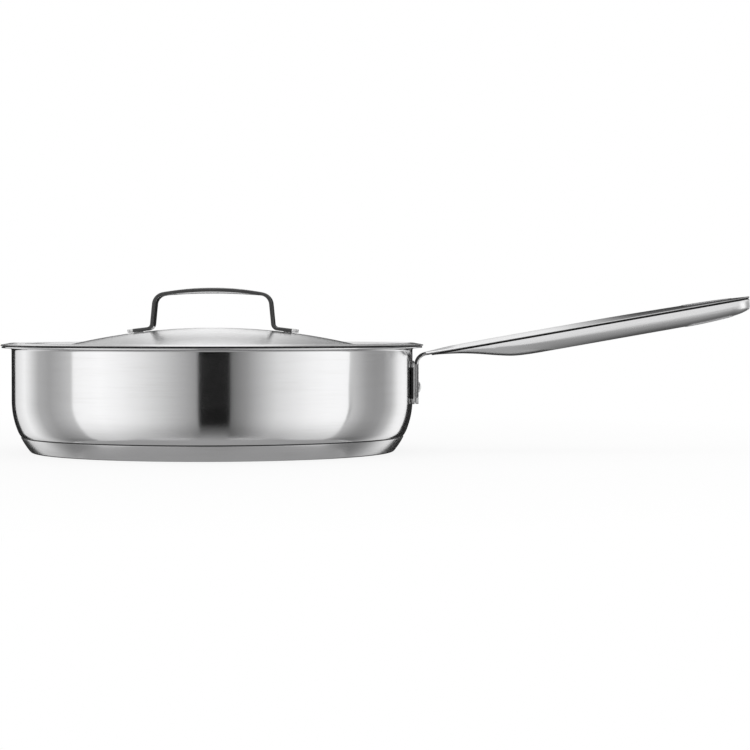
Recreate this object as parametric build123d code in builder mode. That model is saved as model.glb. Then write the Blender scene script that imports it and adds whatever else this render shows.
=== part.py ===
from build123d import *
import math
import os

os.makedirs("parts", exist_ok=True)

# Saute pan with its lid, in millimetres. The origin is on the pan's axis at the
# height of the table, +Z is up and +X points along the long handle.

# Pan body, drawn from one steel sheet and thrown out at the top into a pouring lip
wall_radius = 131.0
pan_height = 69.0
wall_sheet = 1.0
corner_radius = 52.5
knuckle_radius = 13.4
corner_turn = 67.5
lip_reach = 6.4
lip_bend_radius = 1.3
lip_rise = 4.0
lip_edge_radius = 0.4

# Base, an aluminium plate under the floor inside a thin steel capsule
base_height = 5.6
capsule_sheet = 0.5
capsule_height = 9.8
capsule_foot_radius = 2.5
core_height = 8.0

# Lid, a shallow dome with a gutter, a riser and a flange whose edge lies on the lip
dome_radius = 404.0
lid_sheet = 0.8
lid_seat_gap = 0.3
gutter_radius = 5.0
riser_rise = 78.0
riser_length = 3.5
lid_bend_radius = 2.5
flange_length = 5.9
flange_fall = 10.7
flange_reach = 6.95
flange_edge_radius = 0.3

# Lid handle, a strap with two feet on the dome and a grip that is crowned both ways
strap_width = 20.0
strap_thickness = 2.2
grip_top = 107.0
grip_radius = 196.0
grip_turn = 9.4
grip_corner_radius = 7.5
leg_lean = 5.5
ankle_radius = 3.4
strap_foot_place = 49.0
strap_foot_end = 55.9
strap_foot_round = 9.0
grip_belly = 1.3
grip_crown = 0.4
strap_weld_gap = 0.4
strap_weld_radius = 2.5
strap_weld_spacing = 11.0

# Bracket on the pan's wall, its welds and its rivets
bracket_weld_gap = 0.3
bracket_sheet = 1.7
bracket_low = 31.3
bracket_high = 59.2
bracket_width = 40.0
bracket_corner = 5.0
bracket_weld_radius = 2.5
bracket_weld_inset = 5.0
rivet_height = 42.3
rivet_spacing = 13.0
rivet_radius = 2.0
rivet_head_radius = 3.6
rivet_head_height = 1.6

# Long handle, an upper shell with a bent foot and a lower shell, joined along a seam
handle_rise = 10.0
seam_height = 63.15
handle_length = 215.7
foot_low = 31.2
foot_width = 24.0
foot_corner = 6.0
plate_thickness = 2.0
bend_radius = 7.0
grip_width = 27.0
grip_depth = 11.3
grip_rise = 3.5
seam_edge = 1.0
shell_sheet = 1.2

# Hanging slot through the grip's end and the sleeve that lines it
slot_length = 32.5
slot_width = 11.0
slot_margin = 12.2
sleeve_sheet = 1.0

# Length by which a cut runs past what it cuts
overrun = 5.0

# Long handle's shape along its seam. Each row is a place as a share of the handle's
# length, then half-width, edge and crown as shares of the grip's own sizes.
crown_shares = [
    (0.00, 0.890, 1.90, 0.60),
    (0.06, 0.840, 1.50, 0.87),
    (0.12, 0.825, 1.25, 0.96),
    (0.19, 0.865, 1.10, 0.99),
    (0.26, 0.930, 1.00, 1.00),
    (0.34, 0.985, 1.00, 1.00),
    (0.43, 1.000, 1.00, 1.00),
    (0.52, 1.000, 1.00, 1.00),
    (0.61, 1.000, 1.00, 1.00),
    (0.70, 1.000, 1.00, 0.99),
    (0.78, 1.000, 1.00, 0.97),
    (0.86, 1.000, 0.98, 0.89),
    (0.93, 1.000, 0.90, 0.71),
    (1.00, 1.000, 0.60, 0.36),
]
# Each row is a place, then half-width and depth as shares of the grip's own sizes.
belly_shares = [
    (0.018, 0.860, 0.12),
    (0.060, 0.840, 0.17),
    (0.110, 0.825, 0.28),
    (0.160, 0.840, 0.48),
    (0.210, 0.880, 0.72),
    (0.260, 0.930, 0.92),
    (0.310, 0.970, 0.99),
    (0.370, 0.995, 1.00),
    (0.440, 1.000, 1.00),
    (0.520, 1.000, 1.00),
    (0.600, 1.000, 1.00),
    (0.680, 1.000, 1.00),
    (0.760, 1.000, 1.00),
    (0.830, 1.000, 0.99),
    (0.900, 1.000, 0.93),
    (0.950, 1.000, 0.84),
    (1.000, 1.000, 0.62),
]
# Places between which each shell is hollow, and the edge that the crown's hollow keeps
crown_hollow_shares = (0.10, 0.92)
belly_hollow_share = 0.16
hollow_edge_share = 0.3


def sine(angle):
    return math.sin(math.radians(angle))


def cosine(angle):
    return math.cos(math.radians(angle))


# Places on the pan's section, worked out from the sizes above
floor_radius = wall_radius - corner_radius * (1 - sine(corner_turn)) - knuckle_radius * sine(corner_turn)
corner_centre_radius = wall_radius - corner_radius
corner_centre_height = (
    base_height + knuckle_radius * (1 - cosine(corner_turn)) + corner_radius * cosine(corner_turn)
)
lip_length = (lip_reach - lip_bend_radius * (1 - sine(lip_rise))) / cosine(lip_rise)
lip_bend_height = (
    pan_height - (wall_sheet + lip_bend_radius) * cosine(lip_rise) - lip_length * sine(lip_rise)
)
inner_radius = wall_radius - wall_sheet


def pan_line(inset):
    """Section of the pan body, drawn this far inside its outer face, from axis to lip."""
    floor = Line((0, base_height + inset), (floor_radius, base_height + inset))
    knuckle = JernArc(floor @ 1, floor % 1, knuckle_radius - inset, corner_turn)
    corner = JernArc(knuckle @ 1, knuckle % 1, corner_radius - inset, 90 - corner_turn)
    wall = Line(corner @ 1, (wall_radius - inset, lip_bend_height))
    bend = JernArc(wall @ 1, wall % 1, lip_bend_radius + inset, lip_rise - 90)
    lip = PolarLine(bend @ 1, lip_length, lip_rise)
    return floor @ 0, lip @ 1


with BuildPart() as pan_body:
    with BuildSketch(Plane.XZ) as pan_section:
        with BuildLine():
            outside_start, outside_end = pan_line(0)
            inside_start, inside_end = pan_line(wall_sheet)
            Line(outside_start, inside_start)
            Line(outside_end, inside_end)
        make_face()
        fillet(pan_section.vertices().sort_by(Axis.X)[-2:], lip_edge_radius)
    revolve(axis=Axis.Z)
pan_body.part.label = "pan_body"

# The capsule's foot is rounded into the curve that carries on the pan's corner
foot_centre_radius = corner_centre_radius + math.sqrt(
    (corner_radius - capsule_foot_radius) ** 2 - (corner_centre_height - capsule_foot_radius) ** 2
)
capsule_foot_turn = 90 - math.degrees(
    math.asin((corner_centre_height - capsule_foot_radius) / (corner_radius - capsule_foot_radius))
)
capsule_end_turn = 90 - math.degrees(math.asin((corner_centre_height - capsule_height) / corner_radius))


def capsule_line(inset):
    """Section of the capsule, drawn this far inside its outer face, from axis to edge."""
    bottom = Line((0, inset), (foot_centre_radius, inset))
    foot = JernArc(bottom @ 1, bottom % 1, capsule_foot_radius - inset, capsule_foot_turn)
    side = JernArc(foot @ 1, foot % 1, corner_radius - inset, capsule_end_turn - capsule_foot_turn)
    return bottom @ 0, side @ 1


def pan_block_line():
    """Outline of half the pan's section, filled in to the axis."""
    block_start, block_end = pan_line(0)
    Polyline(block_end, (0, block_end.Y), block_start)


with BuildPart() as base_capsule:
    with BuildSketch(Plane.XZ):
        with BuildLine():
            outside_start, outside_end = capsule_line(0)
            inside_start, inside_end = capsule_line(capsule_sheet)
            Line(outside_start, inside_start)
            Line(outside_end, inside_end)
        make_face()
        with BuildLine():
            pan_block_line()
        make_face(mode=Mode.SUBTRACT)
    revolve(axis=Axis.Z)
base_capsule.part.label = "base_capsule"

with BuildPart() as base_core:
    with BuildSketch(Plane.XZ):
        with BuildLine():
            core_start, core_end = capsule_line(capsule_sheet)
            Polyline(core_end, (0, core_end.Y), core_start)
        make_face()
        with BuildLine():
            pan_block_line()
        make_face(mode=Mode.SUBTRACT)
        with Locations((0, core_height)):
            Rectangle(2 * wall_radius, pan_height, align=(Align.CENTER, Align.MIN), mode=Mode.SUBTRACT)
    revolve(axis=Axis.Z)
base_core.part.label = "base_core"

# The flange's edge lies over the lip's edge at the seat's gap, and the flange rises from there
# to the bend. The riser hangs from the bend, the gutter from the riser, and the dome is the
# arc about the axis that touches the gutter.
flange_direction = Vector(cosine(flange_fall), -sine(flange_fall))
flange_normal = Vector(sine(flange_fall), cosine(flange_fall))
flange_edge = Vector(wall_radius + flange_reach, pan_height + lid_seat_gap) + flange_normal * lid_sheet
lid_bend_centre = flange_edge - flange_direction * flange_length - flange_normal * lid_bend_radius
riser_direction = Vector(cosine(riser_rise), sine(riser_rise))
riser_normal = Vector(-sine(riser_rise), cosine(riser_rise))
riser_top = lid_bend_centre + riser_normal * lid_bend_radius
gutter_centre = riser_top - riser_direction * riser_length + riser_normal * gutter_radius
dome_turn = math.degrees(math.asin(gutter_centre.X / (dome_radius + gutter_radius)))
dome_centre = Vector(0, gutter_centre.Y - (dome_radius + gutter_radius) * cosine(dome_turn))
lid_top = dome_centre.Y + dome_radius


def lid_line(inset):
    """Section of the lid, drawn this far under its upper face, from axis to flange."""
    dome = JernArc((0, lid_top - inset), (1, 0), dome_radius - inset, -dome_turn)
    gutter = JernArc(dome @ 1, dome % 1, gutter_radius + inset, dome_turn + riser_rise)
    riser = PolarLine(gutter @ 1, riser_length, riser_rise)
    bend = JernArc(riser @ 1, riser % 1, lid_bend_radius - inset, -flange_fall - riser_rise)
    flange = PolarLine(bend @ 1, flange_length, -flange_fall)
    return dome @ 0, flange @ 1


with BuildPart() as lid_shell:
    with BuildSketch(Plane.XZ) as lid_section:
        with BuildLine():
            upper_start, upper_end = lid_line(0)
            under_start, under_end = lid_line(lid_sheet)
            Line(upper_start, under_start)
            Line(upper_end, under_end)
        make_face()
        fillet(lid_section.vertices().sort_by(Axis.X)[-2:], flange_edge_radius)
    revolve(axis=Axis.Z)
lid_shell.part.label = "lid_shell"

# The strap's feet lie flat along the dome, so the leg's length follows from the dome
strap_foot_slope = math.degrees(math.asin(strap_foot_place / dome_radius))
foot_normal = Vector(sine(strap_foot_slope), cosine(strap_foot_slope))
foot_direction = Vector(cosine(strap_foot_slope), -sine(strap_foot_slope))
leg_heading = leg_lean - 90
leg_direction = Vector(cosine(leg_heading), sine(leg_heading))
strap_middle = strap_thickness / 2
foot_distance = dome_radius + strap_weld_gap + strap_middle


def turned(radius, start_heading, end_heading):
    """How far a line travels along an arc that turns right between two headings."""
    across = radius * (sine(start_heading) - sine(end_heading))
    up = radius * (cosine(end_heading) - cosine(start_heading))
    return Vector(across, up)


grip_end = Vector(0, grip_top - strap_middle) + turned(grip_radius, 0, -grip_turn)
leg_top = grip_end + turned(grip_corner_radius, -grip_turn, leg_heading)
ankle_travel = turned(-ankle_radius, leg_heading, -strap_foot_slope)
leg_length = (foot_distance - foot_normal.dot(leg_top + ankle_travel - dome_centre)) / foot_normal.dot(
    leg_direction
)
foot_start = leg_top + leg_direction * leg_length + ankle_travel
foot_length = (strap_foot_end - foot_start.X) / foot_direction.X


def strap_line(shift, bulge):
    """Half of the strap's section, shifted outward from its middle line and bulged at the grip."""
    grip_start = (0, grip_top - strap_middle + shift + bulge)
    grip_stop = grip_end + Vector(sine(grip_turn), cosine(grip_turn)) * shift
    grip = ThreePointArc((-grip_stop.X, grip_stop.Y), grip_start, grip_stop)
    corner = JernArc(
        grip_stop,
        (cosine(grip_turn), -sine(grip_turn)),
        grip_corner_radius + shift,
        leg_heading + grip_turn,
    )
    leg = PolarLine(corner @ 1, leg_length, leg_heading)
    ankle = JernArc(leg @ 1, leg % 1, ankle_radius - shift, -strap_foot_slope - leg_heading)
    foot = PolarLine(ankle @ 1, foot_length, -strap_foot_slope)
    mirror(corner, about=Plane.YZ)
    mirror(leg, about=Plane.YZ)
    mirror(ankle, about=Plane.YZ)
    mirror(foot, about=Plane.YZ)
    return foot @ 1


with BuildPart() as lid_handle:
    for place, crowned in ((-strap_width / 2, 0), (0, 1), (strap_width / 2, 0)):
        with BuildSketch(Plane.XZ.offset(place)):
            with BuildLine():
                upper_end = strap_line(strap_middle, grip_crown * crowned)
                under_end = strap_line(-strap_middle, -grip_belly * crowned)
                foot_tip = Line(upper_end, under_end)
                mirror(foot_tip, about=Plane.YZ)
            make_face()
    loft()
    with BuildSketch(Plane.XY):
        RectangleRounded(2 * strap_foot_end, strap_width, strap_foot_round)
    extrude(amount=grip_top + overrun, mode=Mode.INTERSECT)
lid_handle.part.label = "lid_handle"

with BuildPart() as lid_handle_welds:
    weld_place = dome_centre + foot_normal * (dome_radius + strap_weld_gap)
    weld_plane = Plane(
        origin=(weld_place.X, 0, weld_place.Y),
        x_dir=(0, 1, 0),
        z_dir=(foot_normal.X, 0, foot_normal.Y),
    )
    with BuildSketch(weld_plane):
        with GridLocations(strap_weld_spacing, strap_weld_spacing, 2, 1):
            Circle(strap_weld_radius)
    extrude(amount=-strap_weld_gap - strap_thickness)
    with Locations((0, 0, dome_centre.Y)):
        Sphere(dome_radius, mode=Mode.SUBTRACT)
    mirror(about=Plane.YZ)
lid_handle_welds.part.label = "lid_handle_welds"

# The bracket stands off the wall by its welds, and the handle's foot lies on the bracket
bracket_inside = wall_radius + bracket_weld_gap
bracket_outside = bracket_inside + bracket_sheet
bracket_middle = (bracket_low + bracket_high) / 2
foot_outside = bracket_outside + plate_thickness


with BuildPart() as rivet_shanks:
    with BuildSketch(Plane.YZ.offset(inner_radius)):
        with Locations((0, rivet_height)):
            with GridLocations(rivet_spacing, rivet_spacing, 2, 1):
                Circle(rivet_radius)
    extrude(amount=foot_outside + rivet_head_height / 2 - inner_radius)

with BuildPart() as handle_bracket:
    with BuildSketch(Plane.XY.offset(bracket_low)):
        Circle(bracket_outside)
        Circle(bracket_inside, mode=Mode.SUBTRACT)
    extrude(amount=bracket_high - bracket_low)
    with BuildSketch(Plane.YZ):
        with Locations((0, bracket_middle)):
            RectangleRounded(bracket_width, bracket_high - bracket_low, bracket_corner)
    extrude(amount=bracket_outside, mode=Mode.INTERSECT)
    add(rivet_shanks.part, mode=Mode.SUBTRACT)
handle_bracket.part.label = "handle_bracket"

with BuildPart() as bracket_welds:
    with BuildSketch(Plane.XY.offset(bracket_low)):
        Circle(bracket_inside)
        Circle(wall_radius, mode=Mode.SUBTRACT)
    extrude(amount=bracket_high - bracket_low)
    with BuildSketch(Plane.YZ):
        with Locations((0, bracket_middle)):
            with GridLocations(
                bracket_width - 2 * bracket_weld_inset,
                bracket_high - bracket_low - 2 * bracket_weld_inset,
                2,
                2,
            ):
                Circle(bracket_weld_radius)
    extrude(amount=bracket_inside, mode=Mode.INTERSECT)
bracket_welds.part.label = "bracket_welds"

# The handle's own frame starts where the bend ends, on the seam's plane
bend_turn = 90 - handle_rise
foot_middle_radius = bracket_outside + plate_thickness / 2
seam_start = (
    foot_middle_radius + bend_radius * (1 - cosine(bend_turn)) + plate_thickness / 2 * sine(handle_rise)
)
bend_start_height = seam_height + plate_thickness / 2 * cosine(handle_rise) - bend_radius * sine(bend_turn)
along = Vector(cosine(handle_rise), 0, sine(handle_rise))
above = Vector(-sine(handle_rise), 0, cosine(handle_rise))
seam_origin = Vector(seam_start, 0, seam_height)
grip_half = grip_width / 2


def plate_line(shift):
    """Section of the foot and its bend, shifted away from the pan from its middle line."""
    foot = Line((foot_middle_radius + shift, foot_low), (foot_middle_radius + shift, bend_start_height))
    bend = JernArc(foot @ 1, foot % 1, bend_radius - shift, -bend_turn)
    tongue = PolarLine(bend @ 1, plate_thickness, handle_rise)
    return foot @ 0, tongue @ 1


def section_plane(place):
    """Plane across the handle at this length along its seam."""
    return Plane(origin=seam_origin + along * place, x_dir=(0, 1, 0), z_dir=along)


def crown_outline(half_width, edge, top):
    """Outline of one section of the upper shell, flat underneath and arched on top."""
    Polyline((-half_width, edge), (-half_width, 0), (half_width, 0), (half_width, edge))
    ThreePointArc((half_width, edge), (0, top), (-half_width, edge))


def belly_outline(half_width, depth):
    """Outline of one section of the lower shell, half an ellipse that hangs from the seam."""
    EllipticalCenterArc((0, 0), half_width, depth, start_angle=180, arc_size=180)
    Line((half_width, 0), (-half_width, 0))


seam_plane = Plane(origin=seam_origin, x_dir=along, z_dir=above)
end_place = handle_length - grip_half
slot_place = handle_length - slot_margin - slot_length / 2

# Seen from above, the grip ends in a full round, and each hollow in a smaller one
with BuildPart() as grip_outline:
    with BuildSketch(seam_plane):
        with Locations((end_place, 0)):
            Rectangle(handle_length, grip_width + overrun, align=(Align.MAX, Align.CENTER))
            Circle(grip_half)
    extrude(amount=grip_width, both=True)

with BuildPart() as hollow_outline:
    with BuildSketch(seam_plane):
        with Locations((end_place, 0)):
            Rectangle(handle_length, grip_width + overrun, align=(Align.MAX, Align.CENTER))
            Circle(grip_half - shell_sheet)
    extrude(amount=grip_width, both=True)

with BuildPart() as crown_block:
    for place, width, edge, top in crown_shares:
        with BuildSketch(section_plane(place * handle_length)):
            with BuildLine():
                crown_outline(width * grip_half, edge * seam_edge, top * grip_rise)
            make_face()
    loft()
    add(grip_outline.part, mode=Mode.INTERSECT)

with BuildPart() as crown_hollow:
    for place, width, edge, top in crown_shares:
        if crown_hollow_shares[0] <= place <= crown_hollow_shares[1]:
            with BuildSketch(section_plane(place * handle_length)):
                with BuildLine():
                    crown_outline(
                        width * grip_half - shell_sheet,
                        edge * seam_edge * hollow_edge_share,
                        top * grip_rise - shell_sheet,
                    )
                make_face()
    loft()

with BuildPart() as belly_block:
    for place, width, depth in belly_shares:
        with BuildSketch(section_plane(place * handle_length)):
            with BuildLine():
                belly_outline(width * grip_half, depth * grip_depth)
            make_face()
    loft()
    add(grip_outline.part, mode=Mode.INTERSECT)

with BuildPart() as belly_hollow:
    for place, width, depth in belly_shares:
        if place >= belly_hollow_share:
            with BuildSketch(section_plane(place * handle_length)):
                with BuildLine():
                    belly_outline(width * grip_half - shell_sheet, depth * grip_depth - shell_sheet)
                make_face()
    loft()
    add(hollow_outline.part, mode=Mode.INTERSECT)

with BuildPart() as slot_block:
    with BuildSketch(seam_plane):
        with Locations((slot_place, 0)):
            SlotOverall(slot_length, slot_width)
    extrude(amount=grip_width, both=True)

with BuildPart() as sleeve_tube:
    with BuildSketch(seam_plane):
        with Locations((slot_place, 0)):
            SlotOverall(slot_length, slot_width)
            SlotOverall(
                slot_length - 2 * sleeve_sheet, slot_width - 2 * sleeve_sheet, mode=Mode.SUBTRACT
            )
    extrude(amount=grip_width, both=True)

with BuildPart() as handle_upper_shell:
    with BuildSketch(Plane.XZ):
        with BuildLine():
            near_start, near_end = plate_line(-plate_thickness / 2)
            far_start, far_end = plate_line(plate_thickness / 2)
            Line(near_start, far_start)
            Line(near_end, far_end)
        make_face()
    revolve(axis=Axis.Z)
    with BuildSketch(Plane.YZ):
        with Locations((0, foot_low)):
            RectangleRounded(foot_width, seam_height, foot_corner, align=(Align.CENTER, Align.MIN))
    extrude(amount=seam_start + grip_width, mode=Mode.INTERSECT)
    add(rivet_shanks.part, mode=Mode.SUBTRACT)
    add(crown_block.part)
    add(crown_hollow.part, mode=Mode.SUBTRACT)
    add(slot_block.part, mode=Mode.SUBTRACT)
handle_upper_shell.part.label = "handle_upper_shell"

with BuildPart() as handle_lower_shell:
    add(belly_block.part)
    add(belly_hollow.part, mode=Mode.SUBTRACT)
    add(slot_block.part, mode=Mode.SUBTRACT)
handle_lower_shell.part.label = "handle_lower_shell"

with BuildPart() as sleeve_top:
    add(sleeve_tube.part)
    add(crown_block.part, mode=Mode.INTERSECT)

with BuildPart() as hanging_sleeve:
    add(sleeve_tube.part)
    add(belly_block.part, mode=Mode.INTERSECT)
    add(sleeve_top.part)
hanging_sleeve.part.label = "hanging_sleeve"

# Each rivet's head is a cap of a sphere on the foot, and its shank ends at the bracket's inside
rivet_sphere = (rivet_head_radius**2 + rivet_head_height**2) / (2 * rivet_head_height)
rivet_angle = math.degrees(math.asin(rivet_spacing / 2 / foot_outside))
rivet_sphere_place = foot_outside + rivet_head_height - rivet_sphere

with BuildPart() as rivet_heads:
    for angle in (-rivet_angle, rivet_angle):
        with Locations((rivet_sphere_place * cosine(angle), rivet_sphere_place * sine(angle), rivet_height)):
            Sphere(rivet_sphere)
    Cylinder(foot_outside, 2 * pan_height, mode=Mode.SUBTRACT)

with BuildPart() as handle_rivets:
    add(rivet_shanks.part)
    Cylinder(bracket_inside, 2 * pan_height, mode=Mode.SUBTRACT)
    add(rivet_heads.part)
handle_rivets.part.label = "handle_rivets"

export_step(pan_body.part, "parts/pan_body.step")
export_step(base_core.part, "parts/base_core.step")
export_step(base_capsule.part, "parts/base_capsule.step")
export_step(handle_bracket.part, "parts/handle_bracket.step")
export_step(bracket_welds.part, "parts/bracket_welds.step")
export_step(handle_upper_shell.part, "parts/handle_upper_shell.step")
export_step(handle_lower_shell.part, "parts/handle_lower_shell.step")
export_step(hanging_sleeve.part, "parts/hanging_sleeve.step")
export_step(handle_rivets.part, "parts/handle_rivets.step")
export_step(lid_shell.part, "parts/lid_shell.step")
export_step(lid_handle.part, "parts/lid_handle.step")
export_step(lid_handle_welds.part, "parts/lid_handle_welds.step")
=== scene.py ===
import math

import bmesh
import bpy
from mathutils import Matrix, Vector


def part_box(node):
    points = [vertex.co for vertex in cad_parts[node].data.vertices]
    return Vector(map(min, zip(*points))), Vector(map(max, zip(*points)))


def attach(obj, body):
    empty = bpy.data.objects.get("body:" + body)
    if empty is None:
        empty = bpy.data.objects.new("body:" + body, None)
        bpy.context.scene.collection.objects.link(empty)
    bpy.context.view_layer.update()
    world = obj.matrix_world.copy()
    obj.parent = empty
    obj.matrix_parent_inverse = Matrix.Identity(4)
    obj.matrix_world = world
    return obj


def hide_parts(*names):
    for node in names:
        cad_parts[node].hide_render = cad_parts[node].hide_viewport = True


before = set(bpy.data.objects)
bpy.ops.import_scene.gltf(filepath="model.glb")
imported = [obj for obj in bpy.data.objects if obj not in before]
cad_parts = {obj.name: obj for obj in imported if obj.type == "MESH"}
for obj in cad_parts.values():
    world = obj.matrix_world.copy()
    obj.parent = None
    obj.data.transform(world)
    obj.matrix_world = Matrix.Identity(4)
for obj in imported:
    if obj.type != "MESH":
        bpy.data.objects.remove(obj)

bl_info = {
    "name": "Saute pan with lid",
    "version": (1, 0, 0),
    "blender": (4, 5, 0),
    "location": "3D View > Sidebar > Saute Pan",
    "description": "Builds a steel saute pan, its strap-handled lid and the studio round it",
    "category": "Add Mesh",
}

ON_AXIS = 1e-7
MERGE_DISTANCE = 2e-6
SHARP_ANGLE = math.radians(40.0)
EDGE_STEPS = 5
QUARTER_TURN = math.pi / 2

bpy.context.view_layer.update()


def length(name, default, description):
    """A length in metres, as a property with its name and description."""
    return bpy.props.FloatProperty(
        name=name, description=description, default=default, min=0.0, precision=5, unit="LENGTH"
    )


def angle(name, degrees, description):
    """An angle, given in degrees, as a property."""
    return bpy.props.FloatProperty(
        name=name, description=description, default=math.radians(degrees), subtype="ANGLE"
    )


def share(name, default, description):
    """A share from nothing to all, as a property."""
    return bpy.props.FloatProperty(
        name=name, description=description, default=default, min=0.0, max=1.0, subtype="FACTOR"
    )


def colour(name, default, description):
    """A colour, as a property."""
    return bpy.props.FloatVectorProperty(
        name=name, description=description, default=default, size=3, min=0.0, max=1.0, subtype="COLOR"
    )


class PanSizes(bpy.types.PropertyGroup):
    """Sizes of the pan and its base"""

    wall_radius: length("Wall radius", 0.131, "Outside radius of the pan's straight wall")
    rim_height: length("Rim height", 0.069, "Height of the lip's upper edge")
    sheet: length("Sheet", 0.001, "Thickness of the pan's steel sheet")
    floor_height: length("Floor height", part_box("pan_body")[0].z, "Height of the floor's underside")
    corner_radius: length("Corner radius", 0.0525, "Radius of the wide curve under the wall")
    knuckle_radius: length("Knuckle radius", 0.0134, "Radius of the tight curve beside the floor")
    corner_turn: angle("Corner turn", 67.5, "Turn of the tight curve, the wide one takes the rest")
    lip_reach: length("Lip reach", 0.0064, "How far the lip stands out from the wall")
    lip_bend_radius: length("Lip bend radius", 0.0013, "Radius of the bend from wall to lip")
    lip_rise: angle("Lip rise", 4.0, "Slope of the lip above the horizontal")
    lip_edge_radius: length("Lip edge radius", 0.0004, "Rounding of the lip's edge")
    capsule_sheet: length("Capsule sheet", 0.0005, "Thickness of the base's steel capsule")
    capsule_height: length("Capsule height", 0.0098, "Height of the capsule's edge")
    capsule_foot_radius: length("Capsule foot radius", 0.0025, "Rounding at the foot of the capsule")
    capsule_edge_radius: length("Capsule edge radius", 0.0002, "Rounding of the capsule's upper edge")


class LidSizes(bpy.types.PropertyGroup):
    """Sizes of the lid"""

    dome_radius: length("Dome radius", 0.404, "Radius of the lid's dome")
    sheet: length("Sheet", 0.0008, "Thickness of the lid's steel sheet")
    seat_gap: length("Seat gap", 0.0003, "Gap between the flange's edge and the lip's edge")
    gutter_radius: length("Gutter radius", 0.005, "Radius of the gutter round the dome")
    riser_rise: angle("Riser rise", 78.0, "Slope of the wall between gutter and flange")
    riser_length: length("Riser length", 0.0035, "Length of the wall between gutter and flange")
    bend_radius: length("Bend radius", 0.0025, "Radius of the bend from riser to flange")
    flange_length: length("Flange length", 0.0059, "Length of the flange from bend to edge")
    flange_fall: angle("Flange fall", 10.7, "Slope of the flange below the horizontal")
    flange_reach: length("Flange reach", 0.00695, "How far the flange stands out past the wall")
    flange_edge_radius: length("Flange edge radius", 0.0003, "Rounding of the flange's edge")


class StrapSizes(bpy.types.PropertyGroup):
    """Sizes of the lid's strap handle"""

    width: length("Width", 0.020, "Width of the strap")
    thickness: length("Thickness", 0.0022, "Thickness of the strap at its edges")
    edge_radius: length("Edge radius", 0.0005, "Rounding of the strap's edges")
    grip_top: length("Grip top", 0.107, "Height of the grip's edges at the middle")
    grip_radius: length("Grip radius", 0.196, "Radius of the grip's long curve")
    grip_turn: angle("Grip turn", 9.4, "Turn of half the grip")
    grip_corner_radius: length("Grip corner radius", 0.0075, "Radius of the bend from grip to leg")
    leg_lean: angle("Leg lean", 5.5, "Lean of the legs away from the vertical")
    ankle_radius: length("Ankle radius", 0.0034, "Radius of the bend from leg to foot")
    foot_place: length("Foot place", 0.049, "Where on the dome the foot takes its slope")
    foot_end: length("Foot end", 0.0559, "Distance of the foot's end from the middle")
    foot_round: length("Foot round", 0.006, "Radius of the foot's rounded corners")
    foot_gap: length("Foot gap", 0.0004, "Gap between foot and dome, filled by the welds")
    belly: length("Belly", 0.0013, "How far the grip swells downward at its middle")
    crown: length("Crown", 0.0004, "How far the grip swells upward at its middle")


class BracketSizes(bpy.types.PropertyGroup):
    """Sizes of the bracket and its rivets"""

    gap: length("Gap", 0.0003, "Gap between wall and bracket, filled by the welds")
    sheet: length("Sheet", 0.0017, "Thickness of the bracket")
    width: length("Width", 0.040, "Width of the bracket across the handle")
    corner: length("Corner", 0.005, "Radius of the bracket's corners")
    edge_radius: length("Edge radius", 0.0004, "Rounding of the bracket's edges")
    rivet_height: length("Rivet height", 0.0423, "Height of the two rivets")
    rivet_spacing: length("Rivet spacing", 0.013, "Distance between the two rivets")
    rivet_radius: length("Rivet radius", 0.002, "Radius of a rivet's shank")
    rivet_head_radius: length("Rivet head radius", 0.0036, "Radius of a rivet's head")
    rivet_head_height: length("Rivet head height", 0.0016, "Height of a rivet's head")
    rivet_brim: length("Rivet brim", 0.00025, "Height of the straight brim under a rivet's head")


class HandleSizes(bpy.types.PropertyGroup):
    """Sizes of the long handle and its slot"""

    rise: angle("Rise", 10.0, "Slope of the long handle")
    seam_height: length("Seam height", 0.06315, "Height of the seam where the bend ends")
    reach: length("Length", 0.2157, "Length of the handle along its seam")
    foot_low: length("Foot low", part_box("handle_upper_shell")[0].z, "Height of the foot's lower end")
    foot_width: length("Foot width", 0.024, "Width of the foot")
    foot_corner: length("Foot corner", 0.006, "Radius of the foot's lower corners")
    plate: length("Plate", 0.002, "Thickness of the foot")
    bend_radius: length("Bend radius", 0.007, "Radius of the bend from foot to grip")
    grip_width: length("Grip width", 0.027, "Width of the grip")
    grip_depth: length("Grip depth", 0.0113, "Depth of the lower shell")
    grip_rise: length("Grip rise", 0.0035, "Height of the upper shell")
    seam_edge: length("Seam edge", 0.001, "Height of the upper shell's side")
    belly_waist: length("Belly waist", 0.0036, "Depth at which the lower shell is widest")
    belly_lean: angle("Belly lean", 16.0, "Inward lean of the lower shell at the seam")
    sheet: length("Sheet", 0.0012, "Thickness of the two shells")
    shoulder_radius: length("Shoulder radius", 0.0006, "Rounding between crown and side")
    seam_groove: length("Seam groove", 0.0007, "Rounding of both shells along the seam")
    slot_length: length("Slot length", 0.0325, "Length of the hanging slot")
    slot_width: length("Slot width", 0.011, "Width of the hanging slot")
    slot_margin: length("Slot margin", 0.0122, "Metal between the slot and the handle's end")
    sleeve_sheet: length("Sleeve sheet", 0.001, "Thickness of the slot's lining")
    sleeve_lip: length("Sleeve lip", 0.0004, "How far the lining is rolled over the shells")


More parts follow.
